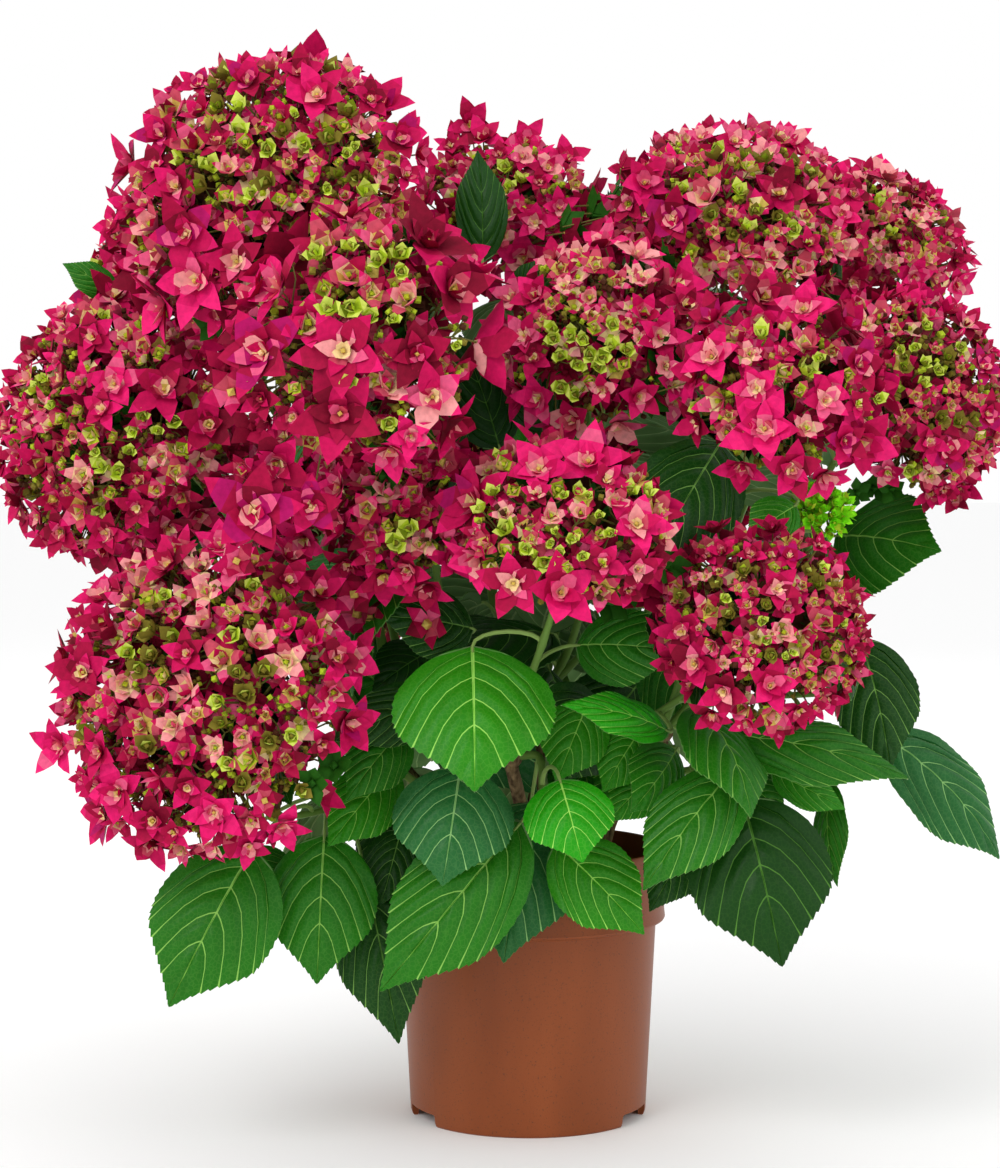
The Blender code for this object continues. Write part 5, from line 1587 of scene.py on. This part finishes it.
# The blooms that have a place of their own: how far across and down the crown's front they are seen, from
# its top left corner, and their radius, all in bloom steps; their kind; their tone, and an eye of its own.
# Blooms of the under kind are dark fillers in gaps between heads and leaves: painted shade.
BLOOMS = {
    "top_left": (
        (250, 82, 27, "star", "purple"), (303, 72, 25, "star", "magenta"),
        (322, 88, 30, "star", "bright cream"), (372, 98, 22, "star", "crimson"),
        (400, 135, 28, "star", "purple"), (425, 150, 25, "star", "bright"), (200, 85, 20, "star", "purple"),
        (165, 130, 28, "star", "purple"), (150, 165, 25, "star", "crimson"),
        (175, 187, 28, "star", "magenta cream"), (180, 228, 38, "star", "purple"),
        (230, 222, 18, "cup", "rose"), (265, 225, 20, "star", "magenta cream"),
        (243, 258, 32, "star", "magenta cream"), (190, 285, 40, "star", "bright"),
        (360, 272, 45, "star", "bright"), (308, 307, 28, "star", "crimson lime"),
        (212, 135, 20, "cup", "crimson"), (265, 120, 16, "cup", "dusty"), (245, 160, 15, "tulip", "rose"),
        (222, 168, 15, "tulip", "pale"), (283, 160, 14, "cup", "dusty"), (312, 160, 12, "cup", "rose"),
        (392, 288, 22, "cup", "crimson"), (425, 278, 18, "cup", "magenta"), (382, 208, 20, "cup", "rose"),
        (293, 108, 8, "rosette", "lime"), (345, 150, 9, "rosette", "lime"),
        (336, 158, 8, "rosette", "blush"), (354, 144, 8, "rosette", "lime"),
        (333, 185, 9, "rosette", "lime"), (433, 225, 28, "star", "bright"), (465, 290, 45, "star", "hot"),
        (485, 265, 25, "star", "bright"), (350, 190, 12, "tulip", "dusty"), (300, 195, 12, "cup", "dusty"),
        (212, 275, 20, "star", "deep"), (216, 318, 22, "star", "crimson"), (247, 64, 18, "star", "magenta"),
        (275, 78, 14, "cup", "crimson"), (176, 84, 18, "star", "purple"), (408, 177, 18, "star", "crimson"),
        (386, 155, 14, "cup", "rose"), (421, 128, 16, "star", "magenta"), (214, 322, 22, "under", "leafy"),
        (234, 316, 22, "under", "deep"), (108, 224, 22, "star", "magenta"),
        (98, 242, 18, "star", "crimson"),
    ),
    "crown": (
        (467, 107, 28, "star", "crimson lime"), (457, 145, 24, "star", "magenta lime"),
        (500, 152, 18, "star", "magenta"), (525, 160, 18, "star", "rosy"), (550, 165, 22, "star", "rosy"),
        (580, 165, 15, "cup", "rose"), (590, 205, 24, "star", "magenta"), (558, 205, 20, "star", "bright"),
        (537, 225, 22, "star", "bright cream"), (500, 235, 20, "cup", "pale"),
        (555, 228, 16, "cup", "crimson"), (444, 130, 15, "cup", "crimson"),
        (540, 184, 16, "star", "magenta"), (581, 180, 14, "cup", "rose"), (438, 128, 16, "star", "magenta"),
        (432, 146, 15, "cup", "rose"), (448, 160, 15, "cup", "crimson"),
    ),
    "far_left": (
        (112, 272, 32, "star", "crimson cream"), (92, 333, 28, "star", "magenta"),
        (52, 300, 20, "star", "rosy"), (120, 348, 16, "cup", "dusty"),
        (200, 338, 28, "star", "crimson lime"), (165, 385, 35, "star", "crimson"),
        (205, 385, 22, "cup", "crimson"), (115, 375, 30, "star", "hot"), (215, 425, 32, "star", "crimson"),
        (100, 410, 22, "star", "magenta"), (138, 418, 10, "rosette", "lime"),
        (160, 427, 9, "rosette", "lime"), (130, 447, 10, "rosette", "lime"),
        (93, 447, 8, "rosette", "lime"), (55, 462, 9, "rosette", "blush"), (45, 400, 9, "rosette", "lime"),
        (40, 372, 8, "rosette", "lime"), (140, 505, 20, "star", "crimson"),
        (170, 530, 28, "star", "crimson cream"), (20, 515, 25, "star", "crimson"),
        (60, 535, 25, "star", "crimson"), (110, 530, 25, "star", "magenta"), (70, 430, 13, "cup", "dusty"),
        (62, 490, 12, "cup", "dusty"), (206, 360, 18, "star", "deep"), (238, 402, 18, "star", "deep"),
        (252, 440, 18, "star", "crimson"), (235, 455, 16, "cup", "deep"), (72, 297, 14, "cup", "rose"),
        (47, 325, 12, "cup", "crimson"),
    ),
    "upper_left": (
        (255, 348, 45, "star", "purple"), (340, 350, 40, "star", "crimson cream"),
        (385, 355, 18, "cup", "crimson"), (415, 355, 35, "star", "deep"), (435, 395, 32, "star", "rosy"),
        (340, 415, 42, "star", "deep"), (345, 455, 20, "cup", "crimson"), (300, 462, 18, "cup", "dusty"),
        (265, 480, 35, "star", "crimson"), (228, 485, 18, "cup", "crimson"),
        (245, 525, 45, "star", "purple"), (305, 525, 30, "star", "purple"), (410, 435, 22, "star", "hot"),
        (398, 318, 9, "rosette", "lime"), (460, 347, 8, "rosette", "lime"),
        (250, 385, 10, "rosette", "lime"), (300, 385, 10, "rosette", "blush"),
        (345, 382, 10, "rosette", "lime"), (450, 360, 14, "cup", "rose"), (258, 428, 20, "star", "deep"),
        (250, 492, 20, "star", "crimson"), (286, 418, 20, "star", "crimson"),
        (234, 330, 20, "star", "deep"), (258, 398, 20, "star", "deep"), (226, 368, 22, "under", "deep"),
        (232, 390, 24, "under", "crimson"), (252, 426, 22, "under", "deep"),
        (242, 548, 20, "under", "crimson"),
    ),
    "inner_left": (
        (425, 500, 28, "star", "purple"), (445, 465, 16, "cup", "rose"), (362, 528, 18, "star", "crimson"),
        (480, 450, 24, "star", "purple"),
    ),
    "centre_left": (
        (485, 478, 18, "star", "crimson"), (495, 541, 19, "star", "crimson lime"),
        (475, 546, 13, "cup", "dusty"),
    ),
    "low_left": (
        (92, 590, 32, "star", "bright"), (75, 670, 30, "star", "crimson"), (75, 645, 16, "cup", "magenta"),
        (45, 748, 30, "star", "hot"), (90, 748, 25, "star", "magenta"), (112, 795, 32, "star", "bright"),
        (150, 828, 26, "star", "crimson"), (180, 792, 22, "star", "magenta"), (205, 820, 28, "star", "hot"),
        (238, 565, 22, "star", "rosy lime"), (290, 575, 25, "star", "crimson"),
        (175, 605, 13, "tulip", "dusty"), (225, 605, 18, "cup", "rose"), (255, 600, 16, "tulip", "rose"),
        (165, 590, 10, "rosette", "lime"), (185, 650, 22, "star", "magenta"), (195, 710, 16, "cup", "rose"),
        (210, 752, 16, "cup", "pale"), (240, 740, 16, "tulip", "pale"), (83, 708, 12, "cup", "dusty"),
        (75, 727, 12, "rosette", "olive"), (122, 757, 16, "cup", "crimson"),
        (250, 850, 22, "star", "bright"), (290, 840, 25, "star", "hot"), (270, 710, 11, "cup", "dusty"),
        (295, 740, 11, "rosette", "lime"), (265, 775, 12, "cup", "dusty"),
        (300, 790, 11, "rosette", "olive"), (278, 842, 16, "star", "crimson"),
        (72, 612, 16, "star", "crimson"), (68, 680, 14, "cup", "crimson"), (79, 773, 16, "star", "crimson"),
        (165, 832, 16, "star", "crimson"), (322, 745, 18, "star", "crimson"),
        (334, 768, 22, "under", "leafy"), (312, 784, 20, "under", "leafy"),
        (262, 802, 18, "under", "crimson"), (90, 792, 18, "star", "magenta"),
    ),
    "top_right": (
        (700, 135, 18, "star", "rosy"), (735, 135, 22, "star", "rosy"),
        (765, 145, 20, "star", "rosy cream"), (790, 135, 25, "star", "rosy"),
        (815, 140, 24, "star", "rosy"), (785, 180, 32, "star", "crimson"),
        (840, 175, 22, "star", "magenta"), (870, 185, 20, "star", "crimson"),
        (640, 175, 30, "star", "bright"), (620, 165, 20, "star", "magenta"),
        (623, 202, 22, "star", "crimson lime"), (670, 215, 32, "star", "purple"),
        (655, 238, 15, "tulip", "pale"), (690, 158, 18, "cup", "rose"), (665, 147, 10, "rosette", "lime"),
        (680, 185, 12, "rosette", "lime"), (710, 225, 13, "cup", "dusty"), (732, 211, 12, "cup", "dusty"),
        (778, 227, 13, "cup", "rose"), (808, 215, 15, "cup", "dusty"), (845, 210, 24, "star", "bright"),
        (805, 245, 18, "star", "crimson lime"), (832, 255, 13, "cup", "dusty"),
        (830, 285, 16, "cup", "rose"), (865, 235, 24, "star", "magenta"), (868, 264, 18, "tulip", "pale"),
        (868, 297, 24, "star", "crimson"), (750, 208, 11, "rosette", "olive"),
        (651, 150, 14, "cup", "rose"), (755, 296, 18, "star", "deep"), (640, 160, 12, "cup", "crimson"),
        (828, 152, 16, "star", "rosy"),
    ),
    "upper_right": (
        (915, 185, 18, "star", "crimson"), (930, 197, 18, "star", "magenta"),
        (905, 215, 12, "cup", "dusty"), (895, 203, 11, "cup", "rose"), (910, 238, 12, "cup", "dusty"),
        (932, 232, 12, "cup", "rose"), (915, 277, 24, "star", "hot"), (950, 232, 18, "star", "crimson"),
        (958, 262, 18, "star", "deep"), (876, 287, 15, "cup", "crimson"), (880, 318, 15, "cup", "deep"),
        (880, 236, 13, "cup", "pale"), (868, 262, 13, "cup", "rose"), (893, 258, 13, "cup", "pale"),
        (912, 256, 12, "cup", "rose"), (870, 278, 15, "under", "crimson"),
    ),
    "middle": (
        (550, 322, 11, "rosette", "lime"), (572, 330, 12, "rosette", "lime"),
        (596, 322, 11, "rosette", "blush"), (612, 340, 12, "rosette", "lime"),
        (585, 350, 12, "rosette", "lime"), (560, 352, 11, "rosette", "lime"),
        (626, 360, 12, "rosette", "blush"), (600, 366, 11, "rosette", "lime"),
        (560, 262, 18, "cup", "dusty"), (592, 255, 20, "cup", "rose"), (618, 275, 16, "cup", "dusty"),
        (585, 290, 15, "tulip", "pale"), (550, 300, 15, "cup", "rose"), (645, 303, 19, "tulip", "magenta"),
        (663, 336, 27, "star", "bright cream"), (520, 330, 22, "star", "rosy"),
        (525, 357, 20, "star", "crimson"), (680, 385, 20, "star", "bright cream"),
        (690, 305, 28, "star", "crimson"), (643, 396, 24, "star", "bright cream"),
        (548, 336, 11, "rosette", "lime"), (582, 336, 11, "rosette", "lime"),
        (600, 350, 12, "rosette", "lime"), (574, 364, 11, "rosette", "lime"),
        (616, 322, 11, "rosette", "lime"), (590, 376, 11, "rosette", "blush"),
        (628, 344, 11, "rosette", "lime"), (602, 393, 18, "star", "rosy cream"),
        (589, 308, 14, "cup", "dusty"), (627, 316, 13, "cup", "dusty"), (643, 338, 12, "cup", "pale"),
        (606, 300, 14, "cup", "rose"), (566, 284, 13, "cup", "pale"), (664, 362, 18, "star", "rosy cream"),
        (536, 312, 14, "cup", "rose"), (689, 323, 14, "under", "crimson"),
        (672, 311, 12, "under", "crimson"),
    ),
    "middle_right": (
        (708, 350, 30, "star", "hot cream"), (805, 305, 32, "star", "hot"), (841, 340, 15, "cup", "dusty"),
        (863, 357, 28, "star", "purple"), (790, 342, 15, "cup", "magenta"), (750, 343, 15, "cup", "pale"),
        (755, 385, 26, "star", "hot cream"), (830, 382, 22, "star", "hot"),
        (823, 403, 22, "star", "rosy cream"), (860, 402, 16, "star", "crimson lime"),
        (880, 395, 10, "rosette", "lime"), (764, 433, 37, "star", "hot"),
        (680, 427, 24, "star", "crimson cream"), (722, 434, 16, "tulip", "pale"),
        (724, 412, 12, "cup", "dusty"), (747, 424, 12, "tulip", "rose"), (690, 407, 9, "rosette", "lime"),
        (745, 404, 8, "rosette", "olive"), (793, 470, 29, "star", "magenta"),
        (845, 437, 24, "star", "purple"), (820, 352, 9, "rosette", "lime"),
    ),
    "far_right": (
        (858, 491, 16, "under", "leafy"), (876, 487, 17, "under", "leafy"),
        (893, 489, 16, "under", "leafy"), (915, 395, 14, "cup", "rose"), (935, 393, 11, "cup", "magenta"),
        (955, 385, 13, "cup", "dusty"), (972, 398, 14, "cup", "rose"), (905, 417, 14, "cup", "rose"),
        (926, 415, 12, "cup", "dusty"), (955, 405, 12, "cup", "rose"), (945, 367, 10, "rosette", "lime"),
        (964, 365, 11, "cup", "dusty"), (905, 356, 8, "rosette", "olive"), (897, 345, 8, "rosette", "lime"),
        (920, 342, 9, "rosette", "lime"), (936, 345, 10, "cup", "dusty"), (965, 345, 9, "rosette", "lime"),
        (895, 320, 13, "cup", "dusty"), (930, 325, 10, "rosette", "lime"),
        (970, 318, 22, "star", "crimson cream"), (988, 362, 22, "star", "purple"),
        (952, 447, 28, "star", "purple"), (988, 412, 22, "star", "purple"), (936, 480, 17, "cup", "pale"),
        (957, 478, 12, "cup", "rose"), (970, 500, 22, "star", "crimson"), (962, 520, 18, "star", "crimson"),
        (885, 470, 20, "star", "rosy lime"), (906, 470, 10, "rosette", "lime"),
        (925, 440, 20, "star", "magenta"), (960, 306, 16, "cup", "rose"), (950, 292, 14, "cup", "crimson"),
        (965, 498, 16, "star", "crimson"), (931, 500, 18, "star", "crimson"),
        (958, 302, 18, "star", "crimson"), (945, 490, 16, "star", "magenta"),
        (930, 508, 16, "star", "crimson"),
    ),
    "centre": (
        (534, 455, 34, "star", "hot"), (587, 455, 34, "star", "hot"),
        (611, 475, 19, "star", "crimson cream"), (618, 497, 16, "tulip", "pale"),
        (640, 515, 33, "star", "hot cream"), (537, 487, 17, "star", "crimson cream"),
        (502, 506, 14, "cup", "pale"), (522, 512, 16, "cup", "rose"), (548, 510, 15, "tulip", "pale"),
        (578, 510, 14, "tulip", "pale"), (562, 495, 7, "rosette", "lime"), (585, 493, 7, "rosette", "lime"),
        (598, 515, 7, "rosette", "lime"), (578, 532, 8, "rosette", "blush"),
        (600, 530, 9, "rosette", "blush"), (612, 531, 9, "rosette", "lime"),
        (560, 530, 6, "rosette", "lime"), (551, 540, 7, "rosette", "lime"),
        (568, 541, 8, "rosette", "lime"), (561, 551, 8, "rosette", "lime"),
        (584, 552, 8, "rosette", "lime"), (570, 564, 8, "rosette", "blush"),
        (527, 546, 9, "rosette", "lime"), (533, 533, 12, "cup", "rose"),
        (509, 584, 29, "star", "crimson cream"), (558, 592, 36, "star", "bright"),
        (607, 558, 21, "star", "crimson lime"), (640, 566, 21, "star", "crimson cream"),
        (668, 568, 20, "star", "deep"), (635, 592, 17, "star", "crimson"),
    ),
    "low_right": (
        (725, 545, 16, "star", "crimson"), (750, 547, 16, "star", "magenta"),
        (775, 547, 15, "cup", "crimson"), (792, 550, 16, "star", "purple"),
        (816, 547, 14, "star", "crimson"), (846, 553, 17, "star", "purple"), (693, 578, 9, "tulip", "pale"),
        (705, 570, 9, "cup", "pale"), (717, 570, 9, "cup", "dusty"), (672, 596, 9, "cup", "dusty"),
        (681, 592, 9, "rosette", "olive"), (664, 606, 10, "cup", "dusty"), (720, 595, 7, "rosette", "lime"),
        (737, 588, 9, "cup", "rose"), (755, 583, 12, "tulip", "dusty"),
        (779, 585, 22, "star", "magenta cream"), (752, 602, 14, "cup", "magenta"),
        (770, 604, 8, "rosette", "olive"), (767, 618, 8, "rosette", "lime"),
        (767, 637, 8, "rosette", "lime"), (779, 632, 8, "cup", "pale"), (790, 627, 17, "tulip", "pale"),
        (790, 602, 16, "star", "crimson"), (828, 565, 8, "rosette", "lime"), (805, 575, 9, "cup", "dusty"),
        (825, 595, 12, "cup", "rose"), (842, 595, 12, "cup", "dusty"), (855, 605, 14, "star", "crimson"),
        (845, 618, 7, "rosette", "lime"), (858, 632, 14, "star", "crimson"),
        (855, 652, 15, "star", "crimson"), (830, 655, 10, "rosette", "olive"),
        (793, 648, 6, "rosette", "lime"), (783, 657, 6, "rosette", "lime"),
        (735, 643, 16, "cup", "magenta"), (755, 649, 9, "cup", "dusty"),
        (747, 666, 16, "star", "magenta cream"), (720, 665, 10, "cup", "pale"),
        (690, 665, 28, "star", "crimson cream"), (675, 628, 24, "star", "crimson"),
        (696, 627, 10, "cup", "magenta"), (722, 696, 24, "star", "crimson cream"),
        (770, 690, 27, "star", "bright"), (793, 676, 12, "cup", "rose"), (815, 683, 12, "cup", "dusty"),
        (825, 700, 12, "cup", "rose"), (802, 712, 18, "star", "crimson"), (835, 708, 19, "star", "magenta"),
        (870, 643, 14, "star", "crimson"), (848, 685, 10, "cup", "dusty"),
        (705, 555, 14, "star", "crimson"), (817, 712, 13, "star", "crimson"),
    ),
}


def dome_point(head, tilt, turn, share=1.0):
    """A point of the head's dome, by its angle from the top and its turn, and the outward way there."""
    facing = Vector(head.facing).normalized()
    across, along = sides_of(facing)
    round_way = across * math.cos(turn) + along * math.sin(turn)
    point = Vector(head.centre) + round_way * head.radius * share * math.sin(tilt)
    point += facing * head.height * share * math.cos(tilt)
    outward = round_way * math.sin(tilt) / head.radius + facing * math.cos(tilt) / head.height
    return point, outward.normalized()


def frame_at(outward, spin):
    """A floret's own axes: its face outward, turned by the spin."""
    across, along = sides_of(outward)
    first = across * math.cos(spin) + along * math.sin(spin)
    return Matrix((first, outward.cross(first), outward)).transposed()


def seen_at(point):
    """Where a point is seen from the front, brought to the plane of the pot's middle."""
    eye = Vector(CAMERA_PLACE)
    return eye + (point - eye) * (eye.y / (eye.y - point.y))


def own_blooms(head, spots):
    """The head's blooms of set place: on the dome's nearest spot, or held out from it where they stray."""
    front = [(seen_at(point), point, outward) for point, outward, _ in spots if outward.y < FARTHEST_ROUND]
    placed_florets = []
    for bloom in map(Bloom._make, BLOOMS.get(head.name, ())):
        goal = BLOOM_CORNER + Vector((bloom.across, 0, -bloom.down)) * BLOOM_STEP
        seen, point, outward = min(front, key=lambda spot: (spot[0] - goal).length)
        turned = VIEW_SHARE
        stray = STRAY
        # An under bloom is a dark filler, painted shade, set where given and faced to the front.
        if bloom.kind == "under":
            stray = 0.0
            outward = TO_FRONT
        if (goal - seen).length > stray:
            point = point + (goal - seen) * (1 - stray / (goal - seen).length)
            turned = STRAY_VIEW_SHARE
        kind = "grand" if bloom.kind == "star" and bloom.size >= GRAND_SIZE else bloom.kind
        way = outward * (1 - turned) + TO_FRONT_UP * turned
        placed_florets.append((kind, point, outward, way, bloom.size * BLOOM_STEP, bloom.tone))
    return placed_florets


def floret_roles(kind, dealt):
    """The finish of each role of a floret: its tone, with another eye where one is named after it."""
    if kind in ("star", "grand"):
        name, _, eye = dealt.partition(" ")
        roles = STAR_TONES[name]
        return roles[:MIDDLE_ROLES] + EYES[eye] + roles[BUD_ROLE + 1:] if eye else roles
    if kind == "rosette":
        return ROSETTE_TONES[dealt]
    return BEAD_TONES[dealt] if kind == "beads" else CUP_TONES[dealt]


def scattered(chance):
    """A small step in any direction."""
    return Vector([chance.gauss(0, 1) for _ in range(3)])


def sprigs(head, chance):
    """Small leaves deep between this head and the ones it touches, for no sky to show through the seams.
    Their dark green and crimson tones are painted shade in the seams.
    """
    middle = Vector(head.centre)
    placed_sprigs = []
    for other in HEADS:
        far = Vector(other.centre)
        apart = (far - middle).length
        if other is head or "young" in (head.name, other.name):
            continue
        if apart > head.radius + other.radius + SEAM_MOST:
            continue
        seam = middle + (far - middle) * (head.radius / (head.radius + other.radius))
        for _ in range(SPRIGS):
            point = seam + scattered(chance) * head.radius * SPRIG_SPREAD
            outward = Vector((point.x, point.y, 0.02)).normalized()
            point -= outward * SPRIG_DEPTH
            radius = SPRIG_SIZE * chance.uniform(*SIZE_SPREAD)
            dealt = chance.choice(SPRIG_TONES)
            placed_sprigs.append(("under", point, outward, outward, radius, dealt))
    return placed_sprigs


def head_florets(head, look):
    """The head's florets, the broadest placed first and each kept clear of those before it."""
    chance = random.Random(head.name + " florets")
    facing = Vector(head.facing).normalized()
    heart = facing
    if head.name in BLOOMS:
        heart = (facing * (1 - VIEW_SHARE) + TO_FRONT * VIEW_SHARE).normalized()
    waiting = {"star": [], "cup": [], "rosette": []}
    spots = []
    for i in range(SPOTS):
        tilt = math.acos(1 - (1 - math.cos(RIM_TILT)) * (i + 0.5) / SPOTS)
        point, outward = dome_point(head, tilt, GOLDEN_TURN * i)
        patch = noise.noise(point * AGE_PATCH_SCALE + Vector((7, 3, 1)))
        age = outward.angle(heart) / RIM_TILT + AGE_PATCH * patch + chance.uniform(-AGE_SPREAD, AGE_SPREAD)
        spots.append((point, outward, age))
        kind = "star" if age > look.star_from else "rosette" if age < look.lime_to else "cup"
        waiting[kind].append((point, outward, age))
    placed_florets = own_blooms(head, spots)
    own = len(placed_florets)
    rooms = [[*point, radius * OWN_ROOM] for _, point, _, _, radius, _ in placed_florets]
    taken = np.array(rooms or np.empty((0, 4)))
    sizes = {"star": look.star, "cup": look.cup, "rosette": min(look.cup * ROSETTE_SHARE, ROSETTE_MOST)}
    dealt_of = {"star": look.stars, "cup": look.cups, "rosette": look.rosettes}
    for kind, size in sizes.items():
        room, spread = ROOMS[kind]
        chance.shuffle(waiting[kind])
        for point, outward, age in waiting[kind]:
            radius = size * chance.uniform(1 - spread / 2, 1 + spread / 2)
            if len(taken):
                apart = np.linalg.norm(taken[:, :3] - np.array(point), axis=1)
                if (apart < (taken[:, 3] + radius * room)).any():
                    continue
            taken = np.vstack([taken, [*point, radius * room]])
            way = outward * OUTWARD_SHARE + heart * HEART_SHARE
            if head.name in BLOOMS:
                way += TO_FRONT * BRIM_LEAN * max(0.0, 1 - abs(outward.y) * 2)
            dealt = chance.choice(dealt_of[kind])
            tulip = kind == "cup" and chance.random() < TULIP_SHARE
            placed_florets.append(("tulip" if tulip else kind, point, outward, way, radius, dealt))
    broad = [(np.array(floret[1]), floret[4]) for floret in placed_florets if floret[0] in ("star", "grand")]
    for share, spacing, size, kinds, tones in UNDER_LAYERS:
        count = round(2 * math.pi * (head.radius * share) ** 2 * UNDER_FILLING / spacing**2)
        for i in range(count):
            tilt = math.acos(1 - (1 - math.cos(UNDER_RIM)) * (i + 0.5) / count)
            tilt += chance.uniform(-UNDER_STRAY, UNDER_STRAY)
            point, outward = dome_point(head, tilt, GOLDEN_TURN * i + 1, share)
            apart = [(np.linalg.norm(place - np.array(point)), radius) for place, radius in broad]
            if any(distance < radius * UNDER_CLEAR for distance, radius in apart):
                continue
            kind = chance.choice(kinds)
            dealt = chance.choice((tones or look.cups) if kind == "under" else tuple(BEAD_TONES))
            radius = spacing * size * chance.uniform(*SIZE_SPREAD)
            if head.name == "young":
                kind, dealt, radius = "rosette", "young", YOUNG_SIZE
            way = outward * OUTWARD_SHARE + heart * HEART_SHARE
            placed_florets.append((kind, point, outward, way, radius, dealt))

    placed_florets += sprigs(head, chance)
    made = []
    bases = []
    for number, (kind, point, outward, way, radius, dealt) in enumerate(placed_florets):
        lean = OWN_LEAN if number < own else FLORET_LEAN
        way = way + scattered(chance) * lean
        way.normalize()
        unevenness = noise.noise(point * UNEVEN_SCALE) * UNEVEN + chance.uniform(*UNEVEN_STEPS)
        base = point - outward * (radius * SUNK[kind] - unevenness)
        matrix = frame_at(way, chance.uniform(0, 2 * math.pi)) * radius
        roles = finishes(floret_roles(kind, dealt))
        shape = chance.choice(florets_of[kind])
        made.append(placed(shape, Matrix.Translation(base) @ matrix.to_4x4(), roles))
        bases.append((base, way))
    return made, bases


def tapering(first, last, steps):
    """A limb's radii, from the first to the last in even steps."""
    return [first + (last - first) * step / steps for step in range(steps + 1)]


def head_rays(head, bases):
    """The head's stalks: a few rays from the shoot's end, and a thin stalk from them to each floret."""
    facing = Vector(head.facing).normalized()
    foot = head_foot(head)
    hub_count = max(5, round(head.radius / RAY_SPACING))
    hubs = []
    for i in range(hub_count):
        tilt = math.acos(1 - RAY_FAN * (i + 0.5) / hub_count)
        point, _ = dome_point(head, tilt, GOLDEN_TURN * i, RAY_SHARE)
        hubs.append(point - facing * head.height * RAY_SINK)
    rays = []
    start = foot + facing * GAP
    for hub in hubs:
        reach = (hub - start).length
        line = bezier(start, start + facing * reach * 0.45, hub - (hub - start) * 0.3, hub, RAY_STEPS)
        rays.append(limb(line, tapering(RAY_RADIUS, RAY_RADIUS * RAY_TAPER, RAY_STEPS), RAY_SIDES))
    stalks = []
    for base, way in bases:
        hub = min(hubs, key=lambda place: (place - base).length)
        reach = (base - hub).length
        line = bezier(hub, hub + (base - hub) * 0.35, base - way * reach * 0.4, base, PEDICEL_STEPS)
        radii = tapering(PEDICEL_RADIUS * PEDICEL_FOOT, PEDICEL_RADIUS, PEDICEL_STEPS)
        stalks.append(limb(line, radii, PEDICEL_SIDES))
    return rays + stalks


ray_green = green_material("ray_green", (112, 108, 50), 0.5, 0.2)
for head in HEADS:
    look = LOOKS.get(head.name, YOUNG_LOOK if head.name == "young" else BACK_LOOK)
    shapes, bases = head_florets(head, look)
    florets = joined(f"florets_{head.name}", shapes, petal_paints, 50)
    rays = joined(f"rays_{head.name}", head_rays(head, bases), [ray_green], 60)
    for piece in (florets, rays):
        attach(piece, "root")
        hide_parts(f"head_{head.name}")
